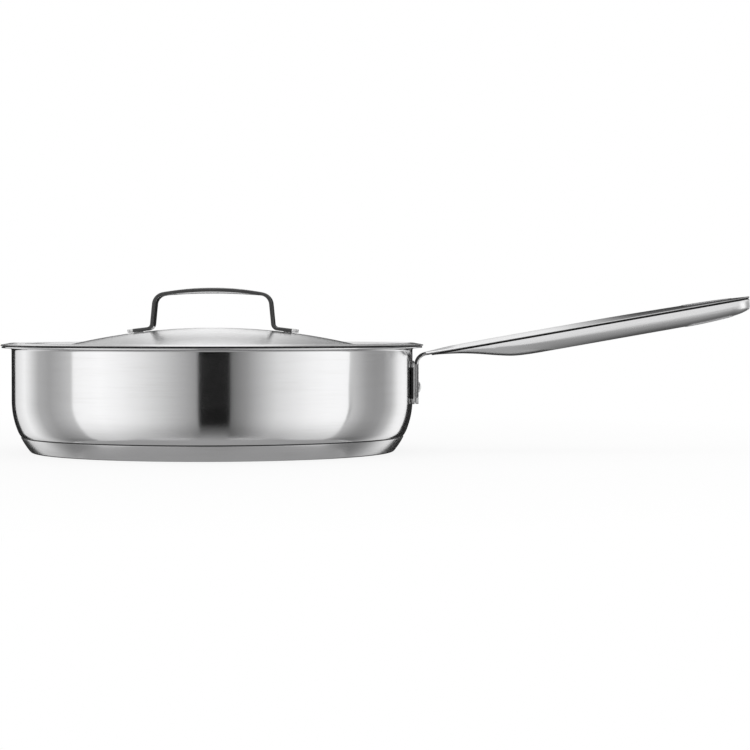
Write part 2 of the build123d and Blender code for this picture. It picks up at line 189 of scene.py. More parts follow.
class SteelFinish(bpy.types.PropertyGroup):
    """Colours of the metals"""
    # Colours of the metals, and of the painted shade on edges and along the handle's seam

    body: colour("Body", (0.70, 0.70, 0.705), "Steel of the pan's wall and floor")
    base: colour("Base", (0.66, 0.66, 0.665), "Steel of the base's capsule")
    lid: colour("Lid", (0.72, 0.72, 0.725), "Steel of the lid")
    handle: colour("Handle", (0.80, 0.80, 0.805), "Steel of the long handle")
    strap: colour("Strap", (0.66, 0.66, 0.66), "Steel of the lid's handle")
    bracket: colour("Bracket", (0.50, 0.50, 0.50), "Steel of the bracket")
    rivet: colour("Rivet", (0.74, 0.74, 0.74), "Steel of the rivets")
    core: colour("Core", (0.75, 0.75, 0.76), "Aluminium of the base's core")
    weld: colour("Weld", (0.22, 0.22, 0.22), "Steel of the bracket's welds")
    # Painted shade: near-black colour painted on the capsule's upper edge, the strap's side edges and the
    # handle's seam groove, in place of the shade there
    cut: colour("Cut", (0.10, 0.10, 0.10), "Steel of the edges of capsule and strap and of the handle's seam")
    # Painted deep shade: near-black colour painted on the lid's flange edge, the bracket's side edges and the
    # edges of the handle's foot and bend, in place of the shade there
    bare: colour("Bare", (0.05, 0.05, 0.05), "Steel of the shaded edges of lid, bracket and handle")
    grime: colour("Grime", (0.42, 0.40, 0.38), "Tint that rubbed and handled metal leans to")


class StudioSizes(bpy.types.PropertyGroup):
    """Camera, floor, cards and lights"""

    camera_across: length("Camera across", 0.10634, "Camera's place along the handle's line")
    camera_back: length("Camera back", 1.464, "Camera's distance in front of the pan's axis")
    camera_height: length("Camera height", 0.0838, "Camera's height above the floor")
    camera_pitch: angle("Camera pitch", 1.324, "How far the camera looks down")
    lens: bpy.props.FloatProperty(
        name="Lens", description="Focal length on the sensor's width", default=106.86, unit="CAMERA"
    )
    sensor: bpy.props.FloatProperty(
        name="Sensor", description="Width of the camera's sensor", default=36.0, unit="CAMERA"
    )
    floor_radius: length("Floor radius", 3.0, "Radius of the round pale floor")
    card_distance: length("Card distance", 1.5, "Distance of the cards and flags from the pan")
    reflector_distance: length("Reflector distance", 0.1, "Reflector's distance from the handle's line")
    under_card_height: length("Under card height", 0.0668, "Height of the dark card under the handle")
    under_card_start: length("Under card start", 0.185, "Where the dark card starts, by the pan")
    under_card_end: length("Under card end", 0.42, "Where the dark card ends")
    under_card_fade: length("Under card fade", 0.04, "Length over which the dark card grows dark")
    under_card_front: length("Under card front", 0.024, "How far the dark card reaches to the front")
    lamp_height: length("Lamp height", 1.5, "Height of the overhead soft lamp")
    lamp_size: length("Lamp size", 1.2, "Width of the overhead soft lamp")
    lamp_power: bpy.props.FloatProperty(
        name="Lamp power", description="Power of the overhead soft lamp", default=5.0, unit="POWER"
    )
    world_light: share("World light", 0.75, "Strength of the light that comes from all round")


def heading_vector(heading):
    """A step of one unit in this direction."""
    return Vector((math.cos(heading), math.sin(heading)))


def left_of(heading):
    """A step of one unit to the left of this direction."""
    return Vector((-math.sin(heading), math.cos(heading)))


def even_shares(steps, first=0):
    """Even shares from nothing to all, or from a later step on."""
    return [step / steps for step in range(first, steps + 1)]


def eased(value):
    """Smooth step from nothing at 0 to all at 1."""
    held = min(max(value, 0.0), 1.0)
    return held * held * (3 - 2 * held)


def closer_at_start(part):
    """Spacing of steps that lie close together where a line starts."""
    return 1 - math.cos(QUARTER_TURN * part)


def closer_at_end(part):
    """Spacing of steps that lie close together where a line ends."""
    return math.sin(QUARTER_TURN * part)


class Outline:
    """A line drawn step by step in a section's plane, as (across, up), that keeps its heading."""

    def __init__(self, start, heading=0.0):
        self.points = [Vector(start)]
        self.headings = [heading]

    @property
    def end(self):
        return self.points[-1]

    @property
    def heading(self):
        return self.headings[-1]

    def run(self, distance, steps=1, spacing=lambda part: part):
        """Goes straight on, in even steps unless a spacing is given."""
        start, heading = self.end, self.heading
        for part in even_shares(steps, 1):
            self.points.append(start + heading_vector(heading) * distance * spacing(part))
            self.headings.append(heading)
        return self

    def bend(self, radius, turn, steps):
        """Turns left by a positive angle, right by a negative one, and steps evenly along the arc."""
        side = math.copysign(1.0, turn)
        start_heading = self.heading
        centre = self.end + left_of(start_heading) * side * radius
        for part in even_shares(steps, 1):
            heading = start_heading + turn * part
            self.points.append(centre - left_of(heading) * side * radius)
            self.headings.append(heading)
        return self


def sheet_profile(first, second, edge_radius, side):
    """Closes two lines of a sheet into one section, with a rounded edge where they end.

    The first line is left at its end by a turn to the given side, and the second is
    followed backwards. Both lines start on the axis or at the sheet's other end.
    """
    thickness = (first.end - second.end).length
    edge = Outline(first.end - heading_vector(first.heading) * edge_radius, first.heading)
    edge.bend(edge_radius, side * QUARTER_TURN, EDGE_STEPS)
    edge.run(thickness - 2 * edge_radius)
    edge.bend(edge_radius, side * QUARTER_TURN, EDGE_STEPS)
    return first.points[:-1] + edge.points + second.points[-2::-1]


def skin(bm, first, second):
    """Faces between two rings or rows of vertices. A ring of one vertex is a pole."""
    count = max(len(first), len(second))
    for index in range(count):
        following = (index + 1) % count
        corners = []
        for ring, place in ((first, index), (first, following), (second, following), (second, index)):
            vertex = ring[place % len(ring)]
            if vertex not in corners:
                corners.append(vertex)
        if len(corners) > 2:
            bm.faces.new(corners)


def turned(profile, steps):
    """Mesh turned about the Z axis from a section in (radius, height)."""
    bm = bmesh.new()
    rings = []
    for radius, height in profile:
        if radius < ON_AXIS:
            rings.append([bm.verts.new((0, 0, height))])
            continue
        ring = []
        for part in even_shares(steps)[:-1]:
            turn = 2 * math.pi * part
            ring.append(bm.verts.new((radius * math.cos(turn), radius * math.sin(turn), height)))
        rings.append(ring)
    for first, second in zip(rings, rings[1:]):
        skin(bm, first, second)
    if len(rings[0]) > 1 and len(rings[-1]) > 1:
        skin(bm, rings[-1], rings[0])
    return bm


def lofted(rows, closed):
    """Mesh through rows of points, with UVs that run across each row and along the rows.

    The rows are closed loops, or they are open and share their first and last points
    with other rows, so that merging them makes the mesh whole.
    """
    bm = bmesh.new()
    uv_layer = bm.loops.layers.uv.new("UVMap")
    verts = [[bm.verts.new(point) for point in row] for row in rows]
    columns = len(rows[0]) if closed else len(rows[0]) - 1
    for row in range(len(rows) - 1):
        for column in range(columns):
            after = (column + 1) % len(rows[0])
            face = bm.faces.new(
                (verts[row][column], verts[row][after], verts[row + 1][after], verts[row + 1][column])
            )
            places = ((column, row), (column + 1, row), (column + 1, row + 1), (column, row + 1))
            for loop, (across, along) in zip(face.loops, places):
                loop[uv_layer].uv = (across / columns, along / (len(rows) - 1))
    bmesh.ops.remove_doubles(bm, verts=bm.verts, dist=MERGE_DISTANCE)
    bmesh.ops.dissolve_degenerate(bm, edges=bm.edges, dist=MERGE_DISTANCE)
    open_edges = [edge for edge in bm.edges if edge.is_boundary]
    if open_edges:
        bmesh.ops.holes_fill(bm, edges=open_edges)
    return bm


def mesh_from(bm, name, material=None):
    """Turns a bmesh into a mesh with its material, and frees it."""
    mesh = bpy.data.meshes.new(name)
    bm.to_mesh(mesh)
    bm.free()
    if material:
        mesh.materials.append(material)
    return mesh


def put_in_scene(name, data):
    """Adds an object of this name to the scene."""
    made = bpy.data.objects.new(name, data)
    bpy.context.scene.collection.objects.link(made)
    return made


def stand(name, bm, material):
    """Turns a finished bmesh into an object with smooth faces and crisp edges."""
    bmesh.ops.recalc_face_normals(bm, faces=bm.faces)
    mesh = mesh_from(bm, name, material)
    mesh.polygons.foreach_set("use_smooth", [True] * len(mesh.polygons))
    mesh.set_sharp_from_angle(angle=SHARP_ANGLE)
    return put_in_scene(name, mesh)


def paint_faces(piece, material, chosen):
    """Gives the faces whose middle is chosen a second material."""
    piece.data.materials.append(material)
    for face in piece.data.polygons:
        if chosen(face.center):
            face.material_index = 1


def join_frame(piece, body, node):
    """The piece stands for a CAD node, which it hides, and moves with its body."""
    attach(piece, body)
    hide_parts(node)


def dress(node, material):
    """Gives a CAD node that stays in view its material."""
    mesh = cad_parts[node].data
    mesh.materials.clear()
    mesh.materials.append(material)


def along_shares(rows, place):
    """Values at a place along rows of (place, value, ...), on a smooth line through them."""
    index = 0
    while index < len(rows) - 2 and rows[index + 1][0] < place:
        index += 1
    before, start = rows[max(index - 1, 0)], rows[index]
    stop, after = rows[index + 1], rows[min(index + 2, len(rows) - 1)]
    span = stop[0] - start[0]
    travel = min(max((place - start[0]) / span, 0.0), 1.0)
    found = []
    for column in range(1, len(start)):
        slope_in = (stop[column] - before[column]) / (stop[0] - before[0]) * span
        slope_out = (after[column] - start[column]) / (after[0] - start[0]) * span
        square, cube = travel**2, travel**3
        found.append(
            (2 * cube - 3 * square + 1) * start[column]
            + (cube - 2 * square + travel) * slope_in
            + (3 * square - 2 * cube) * stop[column]
            + (cube - square) * slope_out
        )
    return found


def fill(tree, made, inputs):
    """Links a node's inputs to sockets, or gives them their values."""
    for socket, value in inputs.items():
        if isinstance(value, bpy.types.NodeSocket):
            tree.links.new(value, made.inputs[socket])
        else:
            made.inputs[socket].default_value = value


def node(tree, kind, inputs=None, **settings):
    """Adds a node, sets it up, and links or fills its inputs."""
    made = tree.nodes.new(kind)
    for name, value in settings.items():
        setattr(made, name, value)
    fill(tree, made, inputs or {})
    return made


def math_node(tree, operation, *values):
    """A sum of one kind on its values."""
    return node(tree, "ShaderNodeMath", dict(enumerate(values)), operation=operation).outputs[0]


def vector_node(tree, *values):
    """A vector put together from up to three values."""
    return node(tree, "ShaderNodeCombineXYZ", dict(enumerate(values))).outputs[0]


def noise(tree, vector, scale=1.0, detail=2.0, roughness=0.5):
    """Soft noise between 0 and 1."""
    inputs = {"Vector": vector, "Scale": scale, "Detail": detail, "Roughness": roughness}
    return node(tree, "ShaderNodeTexNoise", inputs).outputs["Fac"]


def ranged(tree, value, start, stop, low, high):
    """A value that goes from low to high while another goes from start to stop."""
    inputs = {"Value": value, "From Min": start, "From Max": stop, "To Min": low, "To Max": high}
    return node(tree, "ShaderNodeMapRange", inputs).outputs["Result"]


def new_group(name, inputs, outputs):
    """An empty node group with its named sockets."""
    group = bpy.data.node_groups.new(name, "ShaderNodeTree")
    for socket, kind, default in inputs:
        made = group.interface.new_socket(socket, in_out="INPUT", socket_type="NodeSocket" + kind)
        made.default_value = default
    for socket, kind in outputs:
        group.interface.new_socket(socket, in_out="OUTPUT", socket_type="NodeSocket" + kind)
    return group, group.nodes.new("NodeGroupInput").outputs, group.nodes.new("NodeGroupOutput")


BRUSHED_INPUTS = [
    ("Colour", "Color", (0.7, 0.7, 0.7, 1.0)),
    ("Grime", "Color", (0.4, 0.4, 0.4, 1.0)),
    ("Roughness", "Float", 0.2),
    ("Lines", "Float", 2500.0),
    ("Streak", "Float", 3.0),
    ("Contrast", "Float", 0.5),
    ("Marks", "Float", 0.3),
]
BRUSHED_OUTPUTS = [("Colour", "Color"), ("Roughness", "Float"), ("Height", "Float")]
# Places of the Mix node's colour sockets, because its other sockets have the same names
MIX_FIRST = 6
MIX_SECOND = 7
MIX_RESULT = 2


def mixed_colour(tree, factor, first, second):
    """A colour between two others."""
    inputs = {"Factor": factor, MIX_FIRST: first, MIX_SECOND: second}
    return node(tree, "ShaderNodeMix", inputs, data_type="RGBA").outputs[MIX_RESULT]


# Brushed metal: how fine its smudges are and the noise levels between which they build up,
# then what broad lines add to fine ones, lines to the roughness, and smudges to tint and
# roughness, the depth of the lines, and the radius inside which rings are no longer drawn
SMUDGE_SCALE = 34.0
SMUDGE_LEVELS = (0.48, 0.72)
BROAD_LINES = 0.6
ROUGH_LINES = 0.22
SMUDGE_TINT = 0.12
SMUDGE_ROUGHNESS = 0.05
BRUSHING_DEPTH = 2e-6
LEAST_RADIUS = 1e-4
# How many broad lines there are to one fine line, in rings and lengthwise
RING_BROAD_SHARE = 0.08
LENGTH_BROAD_SHARE = 0.1


def brushed_outputs(group, given, output, line_vector, broad_vector):
    """Shared end of both brushing groups: from line coordinates to colour, roughness and height."""
    coordinates = node(group, "ShaderNodeTexCoord").outputs["Object"]
    fine = noise(group, line_vector, detail=3.0, roughness=0.65)
    broad = noise(group, broad_vector)
    smudges = noise(group, coordinates, scale=SMUDGE_SCALE, detail=4.0, roughness=0.6)
    handled = ranged(group, smudges, *SMUDGE_LEVELS, 0.0, 1.0)
    handled = math_node(group, "MULTIPLY", handled, given["Marks"])
    fine_swing = math_node(group, "SUBTRACT", fine, 0.5)
    broad_swing = math_node(group, "SUBTRACT", broad, 0.5)
    swing = math_node(group, "MULTIPLY_ADD", broad_swing, BROAD_LINES, fine_swing)
    lean = math_node(group, "MULTIPLY", swing, given["Contrast"])
    lean = math_node(group, "MULTIPLY_ADD", handled, SMUDGE_TINT, lean)
    lean = math_node(group, "MAXIMUM", lean, 0.0)
    roughness = math_node(group, "MULTIPLY_ADD", swing, ROUGH_LINES, 1.0)
    roughness = math_node(group, "MULTIPLY", roughness, given["Roughness"])
    roughness = math_node(group, "MULTIPLY_ADD", handled, SMUDGE_ROUGHNESS, roughness)
    colour_between = mixed_colour(group, lean, given["Colour"], given["Grime"])
    fill(group, output, {"Colour": colour_between, "Roughness": roughness, "Height": fine})


def turned_brushing_group():
    """Brushing in rings about the pan's axis, for walls, floors, base and lid."""
    group, given, output = new_group("Turned brushing", BRUSHED_INPUTS, BRUSHED_OUTPUTS)
    coordinates = node(group, "ShaderNodeTexCoord").outputs["Object"]
    x, y, z = node(group, "ShaderNodeSeparateXYZ", {0: coordinates}).outputs
    square = math_node(group, "MULTIPLY_ADD", x, x, math_node(group, "MULTIPLY", y, y))
    radius = math_node(group, "MAXIMUM", math_node(group, "SQRT", square), LEAST_RADIUS)
    round_x = math_node(group, "MULTIPLY", math_node(group, "DIVIDE", x, radius), given["Streak"])
    round_y = math_node(group, "MULTIPLY", math_node(group, "DIVIDE", y, radius), given["Streak"])
    line = math_node(group, "MULTIPLY", math_node(group, "ADD", radius, z), given["Lines"])
    broad_line = math_node(group, "MULTIPLY", line, RING_BROAD_SHARE)
    lines = vector_node(group, round_x, round_y, line)
    broad_lines = vector_node(group, round_x, round_y, broad_line)
    brushed_outputs(group, given, output, lines, broad_lines)
    return group


def straight_brushing_group():
    """Brushing along a formed piece, which follows the piece's own UVs."""
    group, given, output = new_group("Straight brushing", BRUSHED_INPUTS, BRUSHED_OUTPUTS)
    places = node(group, "ShaderNodeTexCoord").outputs["UV"]
    u, v, _ = node(group, "ShaderNodeSeparateXYZ", {0: places}).outputs
    across = math_node(group, "MULTIPLY", u, given["Lines"])
    along = math_node(group, "MULTIPLY", v, given["Streak"])
    broad_across = math_node(group, "MULTIPLY", across, LENGTH_BROAD_SHARE)
    lines = vector_node(group, across, along)
    brushed_outputs(group, given, output, lines, vector_node(group, broad_across, along))
    return group


def shared_group(name, make):
    """The node group of this name, made at its first use."""
    return bpy.data.node_groups.get(name) or make()


# Turn of the stretched highlight on steel that is brushed in rings, as a share of a full turn
RING_ROTATION = 0.25


def new_material(name):
    """An empty material, with its tree and its shader."""
    material = bpy.data.materials.new(name)
    material.use_nodes = True
    tree = material.node_tree
    return material, tree, tree.nodes["Principled BSDF"]


def steel(name, finish, in_rings, roughness, lines, streak, anisotropy, contrast, marks):
    """Brushed steel: rings or lines of brushing, handling marks, and a stretched highlight."""
    material, tree, shader = new_material(name)
    if in_rings:
        group = shared_group("Turned brushing", turned_brushing_group)
        tangent = node(tree, "ShaderNodeTangent", direction_type="RADIAL", axis="Z")
    else:
        group = shared_group("Straight brushing", straight_brushing_group)
        tangent = node(tree, "ShaderNodeTangent", direction_type="UV_MAP", uv_map="UVMap")
    colours = bpy.context.scene.steel_finish
    brushing = {
        "Colour": (*getattr(colours, finish), 1.0),
        "Grime": (*colours.grime, 1.0),
        "Roughness": roughness,
        "Lines": lines,
        "Streak": streak,
        "Contrast": contrast,
        "Marks": marks,
    }
    brushed = node(tree, "ShaderNodeGroup", brushing, node_tree=group).outputs
    bump = node(tree, "ShaderNodeBump", {"Height": brushed["Height"], "Distance": BRUSHING_DEPTH})
    surface = {
        "Base Color": brushed["Colour"],
        "Roughness": brushed["Roughness"],
        "Normal": bump.outputs["Normal"],
        "Tangent": tangent.outputs["Tangent"],
        "Metallic": 1.0,
        "Anisotropic": anisotropy,
        "Anisotropic Rotation": RING_ROTATION if in_rings else 0.0,
    }
    fill(tree, shader, surface)
    return material


# Rough metal: how much larger its clouds are than its grain, the noise levels between which
# both change, the shade of the darker clouds, and the least and most of the roughness
CLOUD_SIZE = 9
GRAIN_LEVELS = (0.3, 0.7)
CLOUD_SHADE = 0.82
ROUGH_SHARES = (0.8, 1.2)


def rough_metal(name, finish, roughness, grain, depth):
    """Metal as it comes from the mill or from a weld, and the near-black painted shade on edges and the seam:
    grainy, with no brushing.
    """
    material, tree, shader = new_material(name)
    tint = tuple(getattr(bpy.context.scene.steel_finish, finish))
    coordinates = node(tree, "ShaderNodeTexCoord").outputs["Object"]
    grains = noise(tree, coordinates, scale=grain, detail=4.0, roughness=0.6)
    clouds = noise(tree, coordinates, scale=grain / CLOUD_SIZE)
    shade = ranged(tree, clouds, *GRAIN_LEVELS, CLOUD_SHADE, 1.0)
    tinted = node(tree, "ShaderNodeVectorMath", {0: tint, "Scale": shade}, operation="SCALE")
    bump = node(tree, "ShaderNodeBump", {"Height": grains, "Distance": depth})
    low, high = (roughness * part for part in ROUGH_SHARES)
    surface = {
        "Base Color": tinted.outputs[0],
        "Roughness": ranged(tree, grains, *GRAIN_LEVELS, low, high),
        "Normal": bump.outputs["Normal"],
        "Metallic": 1.0,
    }
    fill(tree, shader, surface)
    return material


# Each brushed steel's finish, and whether its lines run in rings about the pan's axis, then
# roughness, lines, streak, anisotropy, contrast and marks
BRUSHED_STEELS = {
    "Body steel": ("body", True, 0.13, 2600.0, 3.0, 0.8, 0.35, 0.3),
    "Base steel": ("base", True, 0.2, 2200.0, 3.0, 0.8, 0.7, 0.5),
    "Lid steel": ("lid", True, 0.2, 2400.0, 3.0, 0.8, 0.6, 0.3),
    "Bracket steel": ("bracket", True, 0.16, 2200.0, 3.0, 0.3, 0.5, 0.3),
    "Rivet steel": ("rivet", True, 0.14, 1500.0, 3.0, 0.0, 0.5, 0.2),
    "Strap steel": ("strap", False, 0.1, 90.0, 5.0, 0.4, 0.5, 0.4),
    "Handle steel": ("handle", False, 0.27, 110.0, 9.0, 0.0, 0.7, 0.5),
    "Sleeve steel": ("handle", False, 0.2, 60.0, 12.0, 0.3, 0.5, 0.2),
}
# Each rough metal's finish, then roughness, grain and depth; the two edge metals hold the painted shade
ROUGH_METALS = {
    "Core aluminium": ("core", 0.4, 420.0, 1e-5),
    "Weld steel": ("bracket", 0.45, 900.0, 2e-5),
    "Bracket weld steel": ("weld", 0.45, 900.0, 2e-5),
    "Cut edge": ("cut", 0.45, 900.0, 1e-5),
    "Bare edge": ("bare", 0.5, 900.0, 1e-5),
}


def metal(name):
    """The metal of this name, made at its first use."""
    made = bpy.data.materials.get(name)
    if made is None and name in BRUSHED_STEELS:
        made = steel(name, *BRUSHED_STEELS[name])
    return made or rough_metal(name, *ROUGH_METALS[name])


# Steps all round the large turned pieces and a rivet, and over a rivet's head
TURN_STEPS = 288
RIVET_STEPS = 40
RIVET_HEAD_STEPS = 12


def pan_line(sizes, inset):
    """The pan's section from the axis out to the lip, drawn this far inside its outer face."""
    wall_turn = QUARTER_TURN - sizes.corner_turn
    centre_radius = sizes.wall_radius - sizes.corner_radius
    knuckle_place = (
        centre_radius + (sizes.corner_radius - sizes.knuckle_radius) * math.sin(sizes.corner_turn)
    )
    lip_run = (
        sizes.lip_reach - sizes.lip_bend_radius * (1 - math.sin(sizes.lip_rise))
    ) / math.cos(sizes.lip_rise)
    bend_height = (
        sizes.rim_height
        - (sizes.sheet + sizes.lip_bend_radius) * math.cos(sizes.lip_rise)
        - lip_run * math.sin(sizes.lip_rise)
    )
    line = Outline((0, sizes.floor_height + inset))
    line.run(knuckle_place, steps=24)
    line.bend(sizes.knuckle_radius - inset, sizes.corner_turn, steps=16)
    line.bend(sizes.corner_radius - inset, wall_turn, steps=14)
    line.run(bend_height - line.end.y, steps=10)
    line.bend(sizes.lip_bend_radius + inset, sizes.lip_rise - QUARTER_TURN, steps=14)
    line.run(lip_run, steps=4)
    return line


def capsule_line(sizes, inset):
    """The capsule's section from the axis to its upper edge, drawn this far inside its outer face."""
    centre_radius = sizes.wall_radius - sizes.corner_radius
    centre_height = (
        sizes.floor_height
        + sizes.knuckle_radius * (1 - math.cos(sizes.corner_turn))
        + sizes.corner_radius * math.cos(sizes.corner_turn)
    )
    foot_drop = centre_height - sizes.capsule_foot_radius
    foot_arm = sizes.corner_radius - sizes.capsule_foot_radius
    foot_turn = QUARTER_TURN - math.asin(foot_drop / foot_arm)
    end_turn = QUARTER_TURN - math.asin((centre_height - sizes.capsule_height) / sizes.corner_radius)
    line = Outline((0, inset))
    line.run(centre_radius + math.sqrt(foot_arm**2 - foot_drop**2), steps=28)
    line.bend(sizes.capsule_foot_radius - inset, foot_turn, steps=10)
    line.bend(sizes.corner_radius - inset, end_turn - foot_turn, steps=10)
    return line


class SAUTE_OT_pan_body(bpy.types.Operator):
    """Builds the pan's drawn body with its pouring lip"""

    bl_idname = "saute.pan_body"
    bl_label = "Pan body"

    def execute(self, context):
        pan = context.scene.pan_sizes
        profile = sheet_profile(pan_line(pan, 0.0), pan_line(pan, pan.sheet), pan.lip_edge_radius, 1)
        piece = stand("pan_body_drawn", turned(profile, TURN_STEPS), metal("Body steel"))
        join_frame(piece, "pan", "pan_body")
        return {"FINISHED"}


class SAUTE_OT_base(bpy.types.Operator):
    """Builds the base's steel capsule and dresses the aluminium core inside it"""

    bl_idname = "saute.base"
    bl_label = "Base"

    def execute(self, context):
        pan = context.scene.pan_sizes
        inner = capsule_line(pan, pan.capsule_sheet)
        profile = sheet_profile(capsule_line(pan, 0.0), inner, pan.capsule_edge_radius, 1)
        piece = stand("base_capsule_spun", turned(profile, TURN_STEPS), metal("Base steel"))
        # Painted shade: the capsule's upper edge gets the near-black edge colour, for the dark line of shade
        # along it
        painted_shade_from = pan.capsule_height - pan.capsule_edge_radius / 2
        paint_faces(piece, metal("Cut edge"), lambda middle: middle.z > painted_shade_from)
        join_frame(piece, "pan", "base_capsule")
        dress("base_core", metal("Core aluminium"))
        return {"FINISHED"}


def lid_line(pan, lid, inset):
    """The lid's section from the axis out to its flange, drawn this far under its upper face."""
    flange_normal = left_of(-lid.flange_fall)
    riser_normal = left_of(lid.riser_rise)
    flange_edge = Vector((pan.wall_radius + lid.flange_reach, pan.rim_height + lid.seat_gap))
    flange_edge += flange_normal * lid.sheet
    flange_start = flange_edge - heading_vector(-lid.flange_fall) * lid.flange_length
    riser_top = flange_start + (riser_normal - flange_normal) * lid.bend_radius
    riser_foot = riser_top - heading_vector(lid.riser_rise) * lid.riser_length
    gutter_centre = riser_foot + riser_normal * lid.gutter_radius
    dome_turn = math.asin(gutter_centre.x / (lid.dome_radius + lid.gutter_radius))
    dome_height = gutter_centre.y - (lid.dome_radius + lid.gutter_radius) * math.cos(dome_turn)
    line = Outline((0, dome_height + lid.dome_radius - inset))
    line.bend(lid.dome_radius - inset, -dome_turn, steps=40)
    line.bend(lid.gutter_radius + inset, dome_turn + lid.riser_rise, steps=16)
    line.run(lid.riser_length, steps=2)
    line.bend(lid.bend_radius - inset, -lid.flange_fall - lid.riser_rise, steps=12)
    line.run(lid.flange_length, steps=3)
    return line


class SAUTE_OT_lid_shell(bpy.types.Operator):
    """Builds the domed lid with its gutter and flange"""

    bl_idname = "saute.lid_shell"
    bl_label = "Lid shell"

    def execute(self, context):
        pan, lid = context.scene.pan_sizes, context.scene.lid_sizes
        under = lid_line(pan, lid, lid.sheet)
        profile = sheet_profile(lid_line(pan, lid, 0.0), under, lid.flange_edge_radius, -1)
        piece = stand("lid_shell_pressed", turned(profile, TURN_STEPS), metal("Lid steel"))
        # Painted shade: the flange's outer edge gets the near-black edge colour, for the dark line of shade
        # under the lid
        painted_shade_from = pan.wall_radius + lid.flange_reach - lid.flange_edge_radius / 3
        paint_faces(piece, metal("Bare edge"), lambda middle: middle.xy.length > painted_shade_from)
        join_frame(piece, "lid", "lid_shell")
        return {"FINISHED"}


# Steps across each face of the strap, and round each of its edges
STRAP_FACE_STEPS = 12
STRAP_EDGE_STEPS = 6


def strap_section(half_width, half_thickness, crown, belly, edge_radius):
    """One closed section of the strap, as (across, up) from its middle line."""
    flat = half_width - edge_radius
    section = []
    for side, swell in ((1, crown), (-1, belly)):
        for part in even_shares(STRAP_FACE_STEPS):
            across = flat * (2 * part - 1)
            lift = swell * (1 - (across / half_width) ** 2)
            section.append(side * Vector((across, half_thickness + lift)))
        for step in range(1, STRAP_EDGE_STEPS):
            turn = math.pi * step / STRAP_EDGE_STEPS
            level = half_thickness - edge_radius
            if step >= STRAP_EDGE_STEPS / 2:
                level = -level
            point = Vector((flat + edge_radius * math.sin(turn), level + edge_radius * math.cos(turn)))
            section.append(side * point)
    return section


def rounded_half_width(width, corner, to_end):
    """Half the width of a strip with rounded corners, this far from its end."""
    cut = max(corner - to_end, 0.0)
    return width / 2 - corner + math.sqrt(max(corner**2 - cut**2, 0.0))


def strap_rows(strap, lid_top, lid):
    """Sections of the strap from one foot's end over the grip to the other's."""
    half = strap.thickness / 2
    dome_centre = Vector((0, lid_top - lid.dome_radius))
    slope = math.asin(strap.foot_place / lid.dome_radius)
    foot_normal = left_of(-slope)
    leg_heading = strap.leg_lean - QUARTER_TURN
    ankle = {"radius": strap.ankle_radius, "turn": -slope - leg_heading, "steps": 12}
    line = Outline((0, strap.grip_top - half))
    line.bend(strap.grip_radius, -strap.grip_turn, steps=24)
    grip_end = line.end.x
    line.bend(strap.grip_corner_radius, leg_heading + strap.grip_turn, steps=14)
    trial = Outline(line.end, leg_heading).bend(**ankle)
    drop = lid.dome_radius + strap.foot_gap + half - foot_normal.dot(trial.end - dome_centre)
    line.run(drop / foot_normal.dot(heading_vector(leg_heading)), steps=8)
    line.bend(**ankle)
    line.run((strap.foot_end - line.end.x) / math.cos(slope), steps=24, spacing=closer_at_end)
    rows = []
    for point, heading in zip(line.points, line.headings):
        half_width = rounded_half_width(strap.width, strap.foot_round, strap.foot_end - point.x)
        swell = max(1 - (point.x / grip_end) ** 2, 0.0)
        edge_radius = min(strap.edge_radius, half_width / 2)
        section = strap_section(half_width, half, strap.crown * swell, strap.belly * swell, edge_radius)
        up = left_of(heading)
        rows.append([Vector((point.x + up.x * s.y, s.x, point.y + up.y * s.y)) for s in section])
    mirrored = [[Vector((-p.x, p.y, p.z)) for p in row] for row in rows[:0:-1]]
    return mirrored + rows


class SAUTE_OT_lid_handle(bpy.types.Operator):
    """Builds the lid's strap handle and dresses its welds"""

    bl_idname = "saute.lid_handle"
    bl_label = "Lid handle"

    def execute(self, context):
        scene = context.scene
        strap = scene.strap_sizes
        lid_top = lid_line(scene.pan_sizes, scene.lid_sizes, 0.0).points[0].y
        rows = strap_rows(strap, lid_top, scene.lid_sizes)
        piece = stand("lid_handle_strap", lofted(rows, True), metal("Strap steel"))
        # Painted shade: the strap's side edges, all but the feet's ends, get the near-black edge colour
        side = strap.width / 2 - strap.edge_radius
        tip = strap.foot_end - strap.foot_round / 2
        paint_faces(piece, metal("Cut edge"), lambda middle: abs(middle.y) > side and abs(middle.x) < tip)
        join_frame(piece, "lid", "lid_handle")
        dress("lid_handle_welds", metal("Weld steel"))
        return {"FINISHED"}


CORNER_STEPS = 6


def rounded_corners(half_width, half_height, radius):
    """Closed outline of a rectangle with rounded corners, about its own middle."""
    points = []
    for quarter, (side, level) in enumerate(((1, 1), (-1, 1), (-1, -1), (1, -1))):
        centre = Vector((side * (half_width - radius), level * (half_height - radius)))
        for part in even_shares(CORNER_STEPS):
            points.append(centre + heading_vector(QUARTER_TURN * (quarter + part)) * radius)
    return points


# Steps round each edge of the bracket, and where on its faces rings of vertices lie
BRACKET_EDGE_STEPS = 4
BRACKET_FACE_SHARES = (0.0, 0.2, 0.4, 0.6, 0.8)


